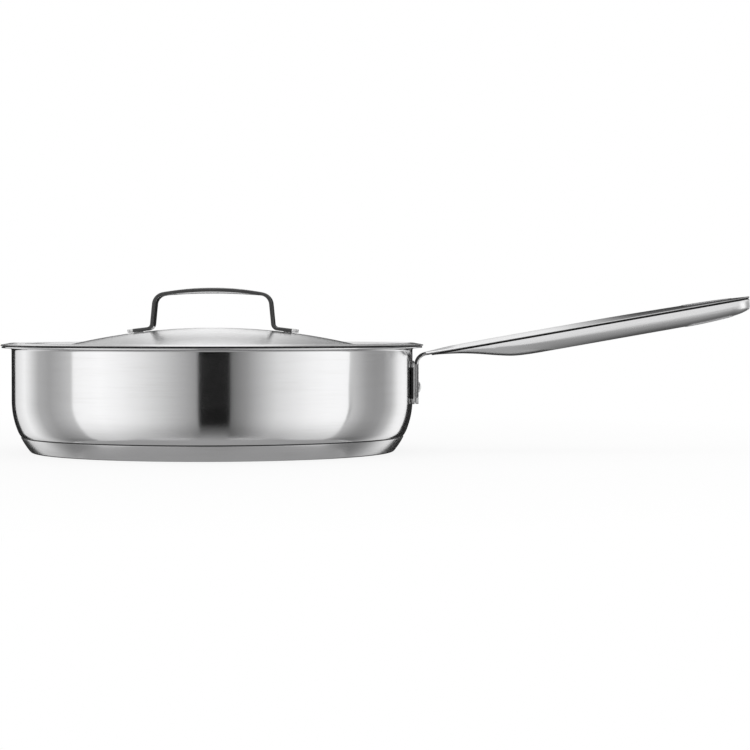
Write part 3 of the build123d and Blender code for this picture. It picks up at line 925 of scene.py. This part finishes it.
def bracket_mesh(wall_radius, bracket, low, high):
    """The bracket, bent to the wall, with rounded corners and edges."""
    edge = bracket.edge_radius
    rim = []
    for part in even_shares(BRACKET_EDGE_STEPS, 1):
        turn = QUARTER_TURN * part
        rim.append((edge * (1 - math.sin(turn)), edge * (1 - math.cos(turn)), 1.0))
    rim += [(inset, bracket.sheet - level, 1.0) for inset, level, _ in rim[::-1]]
    inner_face = [(edge, 0.0, part) for part in BRACKET_FACE_SHARES]
    outer_face = [(edge, bracket.sheet, part) for part in BRACKET_FACE_SHARES[::-1]]
    half_width, half_height = bracket.width / 2, (high - low) / 2
    bm = bmesh.new()
    rings = []
    for inset, level, part in inner_face + rim + outer_face:
        outline = rounded_corners(half_width - inset, half_height - inset, bracket.corner - inset)
        radius = wall_radius + bracket.gap + level
        ring = []
        for across, up in outline if part else outline[:1]:
            across, height = across * part, (low + high) / 2 + up * part
            ring.append(bm.verts.new((math.sqrt(radius**2 - across**2), across, height)))
        rings.append(ring)
    for first, second in zip(rings, rings[1:]):
        skin(bm, first, second)
    return bm


class SAUTE_OT_bracket(bpy.types.Operator):
    """Builds the bracket on the pan's wall and dresses its welds"""

    bl_idname = "saute.bracket"
    bl_label = "Handle bracket"

    def execute(self, context):
        scene = context.scene
        low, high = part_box("handle_bracket")
        bm = bracket_mesh(scene.pan_sizes.wall_radius, scene.bracket_sizes, low.z, high.z)
        piece = stand("handle_bracket_plate", bm, metal("Bracket steel"))
        # Painted shade: the bracket's side edges get the near-black edge colour
        side = scene.bracket_sizes.width / 2 - scene.bracket_sizes.edge_radius
        paint_faces(piece, metal("Bare edge"), lambda middle: abs(middle.y) > side)
        join_frame(piece, "pan", "handle_bracket")
        dress("bracket_welds", metal("Bracket weld steel"))
        return {"FINISHED"}


def rivet_profile(bracket, shank):
    """Half section of one rivet, as (radius, height above the foot)."""
    head, rise, brim = bracket.rivet_head_radius, bracket.rivet_head_height, bracket.rivet_brim
    cap_rise = rise - brim
    sphere = (head**2 + cap_rise**2) / (2 * cap_rise)
    opening = math.asin(head / sphere)
    points = [(0, -shank), (bracket.rivet_radius, -shank), (bracket.rivet_radius, 0)]
    points += [(head - brim / 2, 0), (head, brim / 2)]
    for part in even_shares(RIVET_HEAD_STEPS):
        turn = opening * (1 - part)
        points.append((sphere * math.sin(turn), rise - sphere * (1 - math.cos(turn))))
    return points


class SAUTE_OT_rivets(bpy.types.Operator):
    """Builds the two rivets through the handle's foot"""

    bl_idname = "saute.rivets"
    bl_label = "Handle rivets"

    def execute(self, context):
        scene = context.scene
        bracket, handle = scene.bracket_sizes, scene.handle_sizes
        foot_outside = scene.pan_sizes.wall_radius + bracket.gap + bracket.sheet + handle.plate
        profile = rivet_profile(bracket, bracket.sheet + handle.plate)
        turn = math.asin(bracket.rivet_spacing / 2 / foot_outside)
        both = bmesh.new()
        for side in (-1, 1):
            one = turned(profile, RIVET_STEPS)
            lay_out = (
                Matrix.Rotation(side * turn, 4, "Z")
                @ Matrix.Translation((foot_outside, 0, bracket.rivet_height))
                @ Matrix.Rotation(QUARTER_TURN, 4, "Y")
            )
            bmesh.ops.transform(one, matrix=lay_out, verts=one.verts)
            mesh = mesh_from(one, "rivet")
            both.from_mesh(mesh)
            bpy.data.meshes.remove(mesh)
        piece = stand("handle_rivets_domed", both, metal("Rivet steel"))
        join_frame(piece, "pan", "handle_rivets")
        return {"FINISHED"}


# Long handle's shape along its seam. Each row is a place as a share of the handle's
# length, then half-width, edge and crown as shares of the grip's own sizes.
CROWN_SHARES = [
    (0.00, 0.890, 1.90, 0.60),
    (0.06, 0.840, 1.50, 0.87),
    (0.12, 0.825, 1.25, 0.96),
    (0.19, 0.865, 1.10, 0.99),
    (0.26, 0.930, 1.00, 1.00),
    (0.34, 0.985, 1.00, 1.00),
    (0.43, 1.000, 1.00, 1.00),
    (0.52, 1.000, 1.00, 1.00),
    (0.61, 1.000, 1.00, 0.97),
    (0.70, 1.000, 1.00, 0.90),
    (0.78, 1.000, 1.00, 0.82),
    (0.86, 1.000, 0.98, 0.74),
    (0.93, 1.000, 0.90, 0.58),
    (1.00, 1.000, 0.60, 0.32),
]
# Each row is a place, then half-width and depth as shares of the grip's own sizes.
BELLY_SHARES = [
    (0.018, 0.860, 0.06),
    (0.060, 0.840, 0.14),
    (0.110, 0.825, 0.28),
    (0.160, 0.840, 0.48),
    (0.210, 0.880, 0.72),
    (0.260, 0.930, 0.92),
    (0.310, 0.970, 0.99),
    (0.370, 0.995, 1.00),
    (0.440, 1.000, 1.00),
    (0.520, 1.000, 1.00),
    (0.600, 1.000, 1.00),
    (0.680, 1.000, 1.00),
    (0.760, 1.000, 1.00),
    (0.830, 1.000, 0.99),
    (0.900, 1.000, 0.93),
    (0.950, 1.000, 0.84),
    (1.000, 1.000, 0.62),
]
# Where along the handle the shells start to be hollow and are fully so, and where the upper
# one starts to fill up again and is solid
CROWN_HOLLOW_SHARES = (0.10, 0.14, 0.88, 0.92)
BELLY_HOLLOW_SHARES = (0.16, 0.24)
# How square the lower shell's sections are: 2 is an ellipse, and more is squarer
SIDE_SQUARENESS = 2.0
TIP_SQUARENESS = 8.0
# Steps along the foot, the bend, each side of the upper and of the lower shell, and round the tip
FOOT_STEPS = 40
BEND_STEPS = 18
CROWN_SIDE_STEPS = 170
BELLY_SIDE_STEPS = 168
TIP_STEPS = 48
# Steps across half a section of the upper shell: its top, shoulder, groove and underside
CROWN_TOP_STEPS = 12
SHOULDER_STEPS = 4
GROOVE_STEPS = 2
CROWN_UNDER_STEPS = 8
# Steps across half a section of the lower shell: its keel, its lean to the seam and its inside
BELLY_STEPS = 18
LEAN_STEPS = 6
BELLY_INSIDE_STEPS = 12


class Grip:
    """The long handle's sizes, and its frame: along the seam, sideways, and above the seam."""

    def __init__(self, scene):
        self.sizes = sizes = scene.handle_sizes
        bracket = scene.bracket_sizes
        self.foot_outside = scene.pan_sizes.wall_radius + bracket.gap + bracket.sheet + sizes.plate
        self.outer_bend = sizes.bend_radius - sizes.plate / 2
        turn = QUARTER_TURN - sizes.rise
        self.bend_start = sizes.seam_height - self.outer_bend * math.sin(turn)
        self.foot_line = Outline((self.foot_outside, sizes.foot_low), QUARTER_TURN)
        self.foot_line.run(self.bend_start - sizes.foot_low, FOOT_STEPS, closer_at_start)
        self.foot_line.bend(self.outer_bend, -turn, BEND_STEPS)
        self.origin = Vector((self.foot_line.end.x, 0, self.foot_line.end.y))
        self.along = Vector((math.cos(sizes.rise), 0, math.sin(sizes.rise)))
        self.above = Vector((-math.sin(sizes.rise), 0, math.cos(sizes.rise)))
        self.half_width = sizes.grip_width / 2
        self.end_place = sizes.reach - self.half_width
        self.slot_place = sizes.reach - sizes.slot_margin - sizes.slot_length / 2

    def point(self, place, sideways, height):
        """A point of the grip in the scene."""
        return self.origin + self.along * place + Vector((0, sideways, 0)) + self.above * height

    def crown(self, place, sideways):
        """Height of the upper shell above the seam."""
        width, edge, top = along_shares(CROWN_SHARES, place / self.sizes.reach)
        edge_height, top_height = edge * self.sizes.seam_edge, top * self.sizes.grip_rise
        return edge_height + (top_height - edge_height) * (1 - (sideways / (width * self.half_width)) ** 2)

    def crown_width(self, place):
        """Half-width of the upper shell."""
        return along_shares(CROWN_SHARES, place / self.sizes.reach)[0] * self.half_width

    def belly_width(self, place):
        """Half-width of the lower shell."""
        return along_shares(BELLY_SHARES, place / self.sizes.reach)[0] * self.half_width

    def belly_depth(self, place):
        """Depth of the lower shell under the seam, at its middle."""
        return along_shares(BELLY_SHARES, place / self.sizes.reach)[1] * self.sizes.grip_depth

    def stations(self, start, side_steps):
        """Places along one side of the grip, round its tip and back along the other side.

        Each is (place, across, onward): a place on the seam, and how far a step away from it
        goes across and onward.
        """
        places = [start + (self.end_place - start) * part for part in even_shares(side_steps)]
        stations = [(place, -1, 0.0) for place in places]
        for part in even_shares(TIP_STEPS)[1:-1]:
            turn = math.pi * part - QUARTER_TURN
            stations.append((self.end_place, math.sin(turn), math.cos(turn)))
        return stations + [(place, 1, 0.0) for place in places[::-1]]


def crown_half(width, top_at, sizes, hollow):
    """Half a section of the upper shell, from its middle over the shoulder and back underneath."""
    shoulder, groove = sizes.shoulder_radius, sizes.seam_groove
    flat = width - shoulder
    half = [(flat * part, top_at(flat * part)) for part in even_shares(CROWN_TOP_STEPS)]
    shoulder_height = half[-1][1]
    drop = max(min(shoulder, shoulder_height - groove), 0.0)
    for part in even_shares(SHOULDER_STEPS, 1):
        turn = QUARTER_TURN * part
        half.append((flat + shoulder * math.sin(turn), shoulder_height - drop * (1 - math.cos(turn))))
    for part in even_shares(GROOVE_STEPS):
        turn = QUARTER_TURN * part
        half.append((width - groove * (1 - math.cos(turn)), groove * (1 - math.sin(turn))))
    for part in even_shares(CROWN_UNDER_STEPS):
        reach = (width - sizes.sheet) * (1 - part)
        half.append((reach, max(top_at(reach) - sizes.sheet, 0.0) * hollow))
    return half


def foot_rows(grip, side):
    """Half sections of the handle's plate on one side, up the foot and round the bend."""
    sizes = grip.sizes
    rows = []
    for point, heading in list(zip(grip.foot_line.points, grip.foot_line.headings))[:-1]:
        half_width = rounded_half_width(sizes.foot_width, sizes.foot_corner, point.y - sizes.foot_low)
        up = left_of(heading)
        upright = eased((heading - sizes.rise) / (QUARTER_TURN - sizes.rise))
        row = []
        for across, height in crown_half(half_width, lambda _: sizes.plate, sizes, 0.0):
            radius = point.x + up.x * height
            wrap = (radius - math.sqrt(radius**2 - across**2)) * upright
            row.append(Vector((radius - wrap, side * across, point.y + up.y * height)))
        rows.append(row)
    return rows


def upper_rows(grip):
    """Half sections of the upper shell: up the foot, round the bend, along the crown and back."""
    hollow_start, hollow_full, hollow_less, hollow_end = CROWN_HOLLOW_SHARES
    rows = []
    for place, across, onward in grip.stations(0.0, CROWN_SIDE_STEPS):
        part = place / grip.sizes.reach
        hollow = eased((part - hollow_start) / (hollow_full - hollow_start))
        hollow *= 1 - eased((part - hollow_less) / (hollow_end - hollow_less))

        def top_at(reach):
            return grip.crown(place + reach * onward, reach * across)

        half = crown_half(grip.crown_width(place), top_at, grip.sizes, hollow)
        rows.append([grip.point(place + reach * onward, reach * across, height) for reach, height in half])
    return foot_rows(grip, -1) + rows + foot_rows(grip, 1)[::-1]


def belly_half(grip, place, onward, hollow):
    """Half a section of the lower shell, as (reach, drop), from its keel to the seam and back inside."""
    sizes = grip.sizes
    squareness = SIDE_SQUARENESS + (TIP_SQUARENESS - SIDE_SQUARENESS) * onward**2
    width = grip.belly_width(place)
    half = []
    for part in even_shares(BELLY_STEPS):
        turn = QUARTER_TURN * part
        reach = width * math.sin(turn) ** (2 / squareness)
        depth = grip.belly_depth(place + reach * onward)
        waist = sizes.belly_waist * depth / sizes.grip_depth
        half.append((reach, waist + max((depth - waist) * math.cos(turn) ** (2 / squareness), 0.0)))
    side_radius = waist / math.sin(sizes.belly_lean)
    for part in even_shares(LEAN_STEPS, 1):
        turn = sizes.belly_lean * part
        reach = width - side_radius * (1 - math.cos(turn))
        half.append((reach, max(waist - side_radius * math.sin(turn), sizes.seam_groove)))
    groove = reach - sizes.seam_groove
    half.append((groove, 0.0))
    for part in even_shares(BELLY_INSIDE_STEPS):
        turn = QUARTER_TURN * (1 - part)
        reach = (groove - sizes.sheet) * math.sin(turn) ** (2 / squareness)
        depth = max(grip.belly_depth(place + reach * onward) - sizes.sheet, 0.0)
        half.append((reach, depth * max(math.cos(turn), 0.0) ** (2 / squareness) * hollow))
    return half


def lower_rows(grip):
    """Half sections of the lower shell along one side, round the tip and back."""
    hollow_start, hollow_full = BELLY_HOLLOW_SHARES
    start = BELLY_SHARES[0][0] * grip.sizes.reach
    rows = []
    for place, across, onward in grip.stations(start, BELLY_SIDE_STEPS):
        hollow = eased((place / grip.sizes.reach - hollow_start) / (hollow_full - hollow_start))
        half = belly_half(grip, place, onward, hollow)
        rows.append([grip.point(place + reach * onward, reach * across, -drop) for reach, drop in half])
    return rows


SLOT_END_STEPS = 20
SLOT_SIDE_STEPS = 12


def slot_outline(grip, inset):
    """The hanging slot's outline, as (place, sideways), drawn this far inside."""
    half_width = grip.sizes.slot_width / 2 - inset
    run = grip.sizes.slot_length - grip.sizes.slot_width
    points = []
    for way in (1, -1):
        centre = grip.slot_place + way * run / 2
        for part in even_shares(SLOT_END_STEPS):
            turn = math.pi * part - way * QUARTER_TURN
            points.append((centre + half_width * math.cos(turn), half_width * math.sin(turn)))
        for part in even_shares(SLOT_SIDE_STEPS)[1:-1]:
            points.append((centre - way * run * part, way * half_width))
    return points


def cut_slot(piece, grip):
    """Cuts the hanging slot through a shell of the grip."""
    outline = slot_outline(grip, grip.sizes.sleeve_sheet / 2)
    bm = bmesh.new()
    low, high = (
        [bm.verts.new(grip.point(place, sideways, height)) for place, sideways in outline]
        for height in (-grip.sizes.grip_width, grip.sizes.grip_width)
    )
    skin(bm, low, high)
    bm.faces.new(low)
    bm.faces.new(high[::-1])
    cutter = stand("slot_cutter", bm, piece.data.materials[0])
    cut = piece.modifiers.new("slot", "BOOLEAN")
    cut.operation = "DIFFERENCE"
    cut.solver = "EXACT"
    cut.object = cutter
    graph = bpy.context.evaluated_depsgraph_get()
    mesh = bpy.data.meshes.new_from_object(piece.evaluated_get(graph))
    piece.modifiers.remove(cut)
    piece.data = mesh
    bpy.data.objects.remove(cutter)
    mesh.set_sharp_from_angle(angle=SHARP_ANGLE)


def paint_shade_in_seam(piece, grip):
    """Paints shade into the groove along the seam between the two shells, with the near-black edge colour."""

    def in_seam(middle):
        from_origin = middle - grip.origin
        return from_origin.dot(grip.along) > 0 and abs(from_origin.dot(grip.above)) < grip.sizes.seam_groove

    paint_faces(piece, metal("Cut edge"), in_seam)


# How wide the bend's edges with painted shade are, as a share of the shoulder's radius
BEND_EDGE_SHARE = 1.5


def paint_shade_on_foot(piece, grip):
    """Paints shade onto the bend's edges on the pan's side and the foot's edges on the outside, with the
    near-black edge colour.
    """
    sizes = grip.sizes
    centre = Vector((grip.foot_outside + grip.outer_bend, 0, grip.bend_start))
    bend_edge = grip.outer_bend + sizes.plate - sizes.shoulder_radius * BEND_EDGE_SHARE
    foot_edge = grip.foot_outside - sizes.seam_groove
    reach = sizes.foot_width / 2 - sizes.shoulder_radius

    def on_edge(middle):
        if middle.x > grip.origin.x or abs(middle.y) < reach:
            return False
        if middle.z > centre.z:
            return (middle - centre).xz.length > bend_edge
        return middle.xy.length > foot_edge

    paint_faces(piece, metal("Bare edge"), on_edge)


class SAUTE_OT_upper_shell(bpy.types.Operator):
    """Builds the long handle's foot, bend and crowned upper shell"""

    bl_idname = "saute.upper_shell"
    bl_label = "Handle upper shell"

    def execute(self, context):
        grip = Grip(context.scene)
        shell = lofted(upper_rows(grip), False)
        piece = stand("handle_upper_shell_formed", shell, metal("Handle steel"))
        cut_slot(piece, grip)
        paint_shade_in_seam(piece, grip)
        paint_shade_on_foot(piece, grip)
        join_frame(piece, "pan", "handle_upper_shell")
        return {"FINISHED"}


class SAUTE_OT_lower_shell(bpy.types.Operator):
    """Builds the long handle's bellied lower shell"""

    bl_idname = "saute.lower_shell"
    bl_label = "Handle lower shell"

    def execute(self, context):
        grip = Grip(context.scene)
        shell = lofted(lower_rows(grip), False)
        piece = stand("handle_lower_shell_formed", shell, metal("Handle steel"))
        cut_slot(piece, grip)
        paint_shade_in_seam(piece, grip)
        join_frame(piece, "pan", "handle_lower_shell")
        return {"FINISHED"}


# Heights on the lining's inner face, as shares of half its height, how far in its outer face
# lies, as a share of its sheet, then the rise of its rolled edges and how deep they start, as
# shares of the lip
SLEEVE_LEVEL_SHARES = (-0.8, 0.0, 0.8)
SLEEVE_INSET_SHARE = 0.25
ROLL_RISE_SHARE = 0.6
ROLL_START_SHARE = 0.2
ROLL_STEPS = 8


def sleeve_rows(grip):
    """Closed sections of the slot's lining, rolled over both shells, all round the slot."""
    sizes = grip.sizes
    sheet, lip = sizes.sleeve_sheet, sizes.sleeve_lip
    rolled = []
    for part in even_shares(ROLL_STEPS):
        turn = math.pi * part
        inset = sheet - (sheet + lip) / 2 * (1 - math.cos(turn))
        rolled.append((inset, lip * (ROLL_RISE_SHARE * math.sin(turn) - ROLL_START_SHARE)))
    rows = []
    for outside, inside in zip(slot_outline(grip, 0.0), slot_outline(grip, sheet)):
        top, low = grip.crown(outside[0], 0.0), -grip.belly_depth(outside[0])
        section = [(sheet, (top + low + level * (top - low)) / 2) for level in SLEEVE_LEVEL_SHARES]
        section += [(inset, top + rise) for inset, rise in rolled]
        outer = sheet * SLEEVE_INSET_SHARE
        section += [(outer, top - sizes.sheet / 2), (outer, low + sizes.sheet / 2)]
        section += [(inset, low - rise) for inset, rise in rolled[::-1]]
        row = []
        for inset, height in section:
            place, sideways = (out + (far - out) * inset / sheet for out, far in zip(outside, inside))
            row.append(grip.point(place, sideways, height))
        rows.append(row)
    return rows + rows[:1]


class SAUTE_OT_sleeve(bpy.types.Operator):
    """Builds the lining of the hanging slot, rolled over both shells"""

    bl_idname = "saute.sleeve"
    bl_label = "Hanging sleeve"

    def execute(self, context):
        rows = sleeve_rows(Grip(context.scene))
        piece = stand("hanging_sleeve_rolled", lofted(rows, True), metal("Sleeve steel"))
        join_frame(piece, "pan", "hanging_sleeve")
        return {"FINISHED"}


# What the steel mirrors, all round the pan: azimuths in degrees from the camera's side,
# growing to the right, each with the brightness of the card there
LEFT_SOFTBOX = [
    (-78, 1.26), (-59.4, 1.36), (-46.7, 1.24), (-35, 1.06), (-24.3, 0.84), (-13.6, 0.6), (-3.9, 0.39),
]
RIGHT_SOFTBOX = [
    (13.1, 0.2), (21.4, 0.38), (30.2, 0.68), (38.9, 0.96), (47.7, 1.1), (57.5, 1.25), (68.2, 1.33),
    (83.9, 1.33),
]
LEFT_WALL = [
    (-145, 0.8), (-134.1, 1.02), (-125.2, 1.2), (-118.3, 1.0), (-107.5, 0.57), (-96.6, 0.47),
    (-87.8, 0.58), (-78, 0.76),
]
RIGHT_WALL = [
    (83.9, 0.8), (90.8, 0.6), (97.6, 0.44), (104.5, 0.4), (112.4, 0.43), (121.3, 0.64), (131.1, 1.14),
    (138.1, 1.22), (147, 1.15),
]
CAMERA_GAP = [(-3.9, 0.012), (13.1, 0.012)]
GAP_FOOT = [(-3.9, 0.1), (13.1, 0.1)]
BACK_FLAGS = [(147, 0.02), (216.8, 0.02)]
BACK_RIGHT_FLAG = [(157.0, 0.03), (168.5, 0.03)]
BACK_CARD = [
    (170, 0.35), (176, 0.42), (178, 0.8), (180, 1.1), (185, 1.2), (189, 1.1), (192, 0.6), (196, 0.4),
]
TABLE_CARD = [(-180, 0.43), (180, 0.43)]
# The reflector in front of and over the long handle: an angle about the handle's line, growing
# from the camera's side over the top, then the brightness there by the pan and at the far end
REFLECTOR = [
    (-46.0, 0.36, 0.44), (-34.0, 0.5, 0.66), (-24.0, 0.7, 0.84), (-14.0, 0.86, 0.88), (20.0, 0.9, 0.88),
    (45.0, 0.95, 0.9), (65.0, 1.0, 0.5), (90.0, 1.0, 0.36), (118.0, 1.0, 0.34), (134.0, 1.0, 0.2),
    (148.0, 0.98, 0.02), (164.0, 0.7, 0.0), (177.0, 0.4, 0.0),
]
# Where along the handle the reflector starts and ends, and where the change from the first
# brightness to the second does
REFLECTOR_SHARES = (0.1, 1.45)
REFLECTOR_CHANGE_SHARES = (0.38, 0.72)
# The card under the long handle: how far back as a share of its reach to the front, then brightness
UNDER_CARD = [(-1.0, 0.44), (-0.5, 0.31), (0.0, 0.11), (0.4, 0.02), (3.0, 0.01)]
# How much of the card's first brightness there is all across it, by the pan and at the far end
UNDER_CARD_START_SHARE = 1.0
UNDER_CARD_END_SHARE = 0.4
# Each card's name, its stops, the elevations in degrees of its lower and upper edges, the
# elevation from which it fades downward, and the share that is gone where it ends (a share
# below zero makes it brighter there)
CARDS = [
    ("Left_softbox", LEFT_SOFTBOX, -42.0, 15.0, -14.0, 0.45),
    ("Right_softbox", RIGHT_SOFTBOX, -42.0, 15.0, -14.0, 0.45),
    ("Left_wall", LEFT_WALL, -42.0, 15.0, -12.0, 0.55),
    ("Right_wall", RIGHT_WALL, -42.0, 15.0, -12.0, 0.55),
    ("Camera_gap", CAMERA_GAP, -26.0, 15.0, -26.0, 0.0),
    ("Gap_foot", GAP_FOOT, -45.0, -26.0, -27.0, -2.6),
    ("Back_flags", BACK_FLAGS, -70.0, 11.0, -70.0, 0.0),
    ("Back_right_flag", BACK_RIGHT_FLAG, -70.0, 36.0, -70.0, 0.0),
    ("Back_card", BACK_CARD, 11.0, 42.0, 0.0, 0.0),
    ("Table_card", TABLE_CARD, -90.0, -40.5, -90.0, 0.0),
]
# Each card hangs nearer than the one before it by this share of the distance
CARD_STEP_SHARE = 0.02
# Steps from one of a card's stops to the next and up a card, along the reflector, and round
# the floor
CARD_STEPS = 8
REFLECTOR_STEPS = 27
FLOOR_STEPS = 96


def card_material():
    """Plain glow of a card, as bright as its vertices say."""
    material, tree, shader = new_material("Studio card")
    tree.nodes.remove(shader)
    shade = node(tree, "ShaderNodeAttribute", attribute_name="shade").outputs["Fac"]
    glow = node(tree, "ShaderNodeEmission", {"Strength": shade})
    fill(tree, tree.nodes["Material Output"], {"Surface": glow.outputs[0]})
    return material


def hang_card(name, columns, material):
    """Makes a card from columns of (point, brightness) that only the steel sees."""
    bm = bmesh.new()
    shade = bm.verts.layers.float.new("shade")
    rows = []
    for column in columns:
        row = []
        for point, brightness in column:
            vertex = bm.verts.new(point)
            vertex[shade] = brightness
            row.append(vertex)
        rows.append(row)
    for first, second in zip(rows, rows[1:]):
        for index in range(len(first) - 1):
            bm.faces.new((first[index], first[index + 1], second[index + 1], second[index]))
    panel = put_in_scene(name, mesh_from(bm, name, material))
    panel.visible_camera = False
    panel.visible_diffuse = False
    panel.visible_shadow = False


def between_stops(stops):
    """Evenly spaced places between the stops, each with the brightness there."""
    places = []
    for (start, bright), (stop, brighter) in zip(stops, stops[1:]):
        for part in even_shares(CARD_STEPS)[:-1]:
            places.append((start + (stop - start) * part, bright + (brighter - bright) * part))
    return places + [stops[-1]]


def curved_card(name, stops, low, high, fade_start, fade, distance, material):
    """A card curved about the pan, shaded from stop to stop and faded toward its lower edge."""
    columns = []
    for azimuth, brightness in between_stops(stops):
        toward = Vector((math.sin(math.radians(azimuth)), -math.cos(math.radians(azimuth)), 0))
        column = []
        for part in even_shares(CARD_STEPS):
            elevation = low + (high - low) * part
            tilt = math.radians(elevation)
            gone = fade * eased((fade_start - elevation) / max(fade_start - low, 1.0))
            out = toward * math.cos(tilt) + Vector((0, 0, math.sin(tilt)))
            column.append((out * distance, brightness * (1 - gone)))
        columns.append(column)
    hang_card(name, columns, material)


def wrap_reflector(grip, distance, material):
    """A reflector flat in front of the long handle and wrapped over it."""
    columns = []
    low, high = REFLECTOR_SHARES
    start, stop = REFLECTOR_CHANGE_SHARES
    for part in even_shares(REFLECTOR_STEPS):
        place = low + (high - low) * part
        changed = eased((place - start) / (stop - start))
        column = []
        for degrees, first, last in REFLECTOR:
            turn = math.radians(degrees)
            sideways, height = -distance * math.cos(turn), distance * math.sin(turn)
            if turn < 0:
                sideways, height = -distance, distance * math.tan(turn)
            point = grip.point(grip.sizes.reach * place, sideways, height)
            column.append((point, first + (last - first) * changed))
        columns.append(column)
    hang_card("Reflector", columns, material)


def lay_under_card(studio, material):
    """A card under the long handle, just above what the wall mirrors, dark toward the back."""
    start, end = studio.under_card_start, studio.under_card_end
    plain = UNDER_CARD[0][1]
    columns = []
    for across, plain_share in (
        (start, UNDER_CARD_START_SHARE),
        (start + studio.under_card_fade, 0.0),
        (end, UNDER_CARD_END_SHARE),
    ):
        column = []
        for reach, brightness in UNDER_CARD:
            point = Vector((across, reach * studio.under_card_front, studio.under_card_height))
            column.append((point, brightness + (plain - brightness) * plain_share))
        columns.append(column)
    hang_card("Under_card", columns, material)


# The floor's whiteness by the pan for the camera, and the distances over which it grows to white
FLOOR_WHITENESS = 0.86
FLOOR_WHITENING = (0.2, 0.6)


def floor_material():
    """Pale floor that keeps the pan's shadow and is white where it meets the backdrop."""
    material, tree, shader = new_material("Pale floor")
    fill(tree, shader, {"Base Color": (0.9, 0.9, 0.9, 1.0), "Roughness": 0.9})
    coordinates = node(tree, "ShaderNodeTexCoord").outputs["Object"]
    distance = node(tree, "ShaderNodeVectorMath", {0: coordinates}, operation="LENGTH").outputs["Value"]
    far = ranged(tree, distance, *FLOOR_WHITENING, FLOOR_WHITENESS, 1.0)
    seen = node(tree, "ShaderNodeLightPath").outputs["Is Camera Ray"]
    white = node(tree, "ShaderNodeEmission").outputs[0]
    factor = math_node(tree, "MULTIPLY", far, seen)
    mixed = node(tree, "ShaderNodeMixShader", {0: factor, 1: shader.outputs[0], 2: white})
    fill(tree, tree.nodes["Material Output"], {"Surface": mixed.outputs[0]})
    return material


def studio_world(scene, world_light):
    """White backdrop for the camera and the steel, and a gentler light for the rest."""
    world = bpy.data.worlds.new("Studio")
    scene.world = world
    world.use_nodes = True
    tree = world.node_tree
    paths = node(tree, "ShaderNodeLightPath").outputs
    seen = math_node(tree, "MAXIMUM", paths["Is Camera Ray"], paths["Is Glossy Ray"])
    seen = math_node(tree, "MAXIMUM", seen, paths["Is Transmission Ray"])
    strength = ranged(tree, seen, 0.0, 1.0, world_light, 1.0)
    fill(tree, tree.nodes["Background"], {"Color": (1.0, 1.0, 1.0, 1.0), "Strength": strength})


class SAUTE_OT_stage(bpy.types.Operator):
    """Sets up the camera, the pale floor, the white backdrop, the cards and the lamp"""

    bl_idname = "saute.stage"
    bl_label = "Studio"

    def execute(self, context):
        scene = context.scene
        studio = scene.studio_sizes
        scene.view_settings.view_transform = "Standard"
        studio_world(scene, studio.world_light)

        camera = put_in_scene("Camera", bpy.data.cameras.new("Camera"))
        camera.data.lens = studio.lens
        camera.data.sensor_width = studio.sensor
        camera.location = (studio.camera_across, -studio.camera_back, studio.camera_height)
        camera.rotation_euler = (QUARTER_TURN - studio.camera_pitch, 0, 0)
        scene.camera = camera

        bm = bmesh.new()
        bmesh.ops.create_circle(bm, cap_ends=True, radius=studio.floor_radius, segments=FLOOR_STEPS)
        floor = put_in_scene("Floor", mesh_from(bm, "Floor", floor_material()))
        floor.visible_glossy = False

        material = card_material()
        for index, card in enumerate(CARDS):
            curved_card(*card, studio.card_distance * (1 - CARD_STEP_SHARE * index), material)
        wrap_reflector(Grip(scene), studio.reflector_distance, material)
        lay_under_card(studio, material)

        lamp = put_in_scene("Overhead", bpy.data.lights.new("Overhead", "AREA"))
        lamp.data.size = studio.lamp_size
        lamp.data.energy = studio.lamp_power
        lamp.location = (studio.camera_across, 0, studio.lamp_height)
        return {"FINISHED"}


class SAUTE_PT_panel(bpy.types.Panel):
    """Lists the pan's pieces and the studio in the sidebar"""

    bl_idname = "SAUTE_PT_panel"
    bl_label = "Saute pan with lid"
    bl_space_type = "VIEW_3D"
    bl_region_type = "UI"
    bl_category = "Saute Pan"

    def draw(self, context):
        for operator in OPERATORS:
            self.layout.operator(operator.bl_idname)
        for pointer in GROUPS:
            box = self.layout.box()
            settings = getattr(context.scene, pointer)
            for name in settings.__annotations__:
                box.prop(settings, name)


GROUPS = {
    "pan_sizes": PanSizes,
    "lid_sizes": LidSizes,
    "strap_sizes": StrapSizes,
    "bracket_sizes": BracketSizes,
    "handle_sizes": HandleSizes,
    "steel_finish": SteelFinish,
    "studio_sizes": StudioSizes,
}
OPERATORS = [
    SAUTE_OT_pan_body,
    SAUTE_OT_base,
    SAUTE_OT_lid_shell,
    SAUTE_OT_lid_handle,
    SAUTE_OT_bracket,
    SAUTE_OT_rivets,
    SAUTE_OT_upper_shell,
    SAUTE_OT_lower_shell,
    SAUTE_OT_sleeve,
    SAUTE_OT_stage,
]


def register():
    for kind in [*GROUPS.values(), *OPERATORS, SAUTE_PT_panel]:
        bpy.utils.register_class(kind)
    for pointer, group in GROUPS.items():
        setattr(bpy.types.Scene, pointer, bpy.props.PointerProperty(type=group))


def unregister():
    for pointer in GROUPS:
        delattr(bpy.types.Scene, pointer)
    for kind in [SAUTE_PT_panel, *OPERATORS[::-1], *list(GROUPS.values())[::-1]]:
        bpy.utils.unregister_class(kind)


def main():
    register()
    bpy.ops.saute.pan_body()
    bpy.ops.saute.base()
    bpy.ops.saute.lid_shell()
    bpy.ops.saute.lid_handle()
    bpy.ops.saute.bracket()
    bpy.ops.saute.rivets()
    bpy.ops.saute.upper_shell()
    bpy.ops.saute.lower_shell()
    bpy.ops.saute.sleeve()
    bpy.ops.saute.stage()


if __name__ == "__main__":
    main()
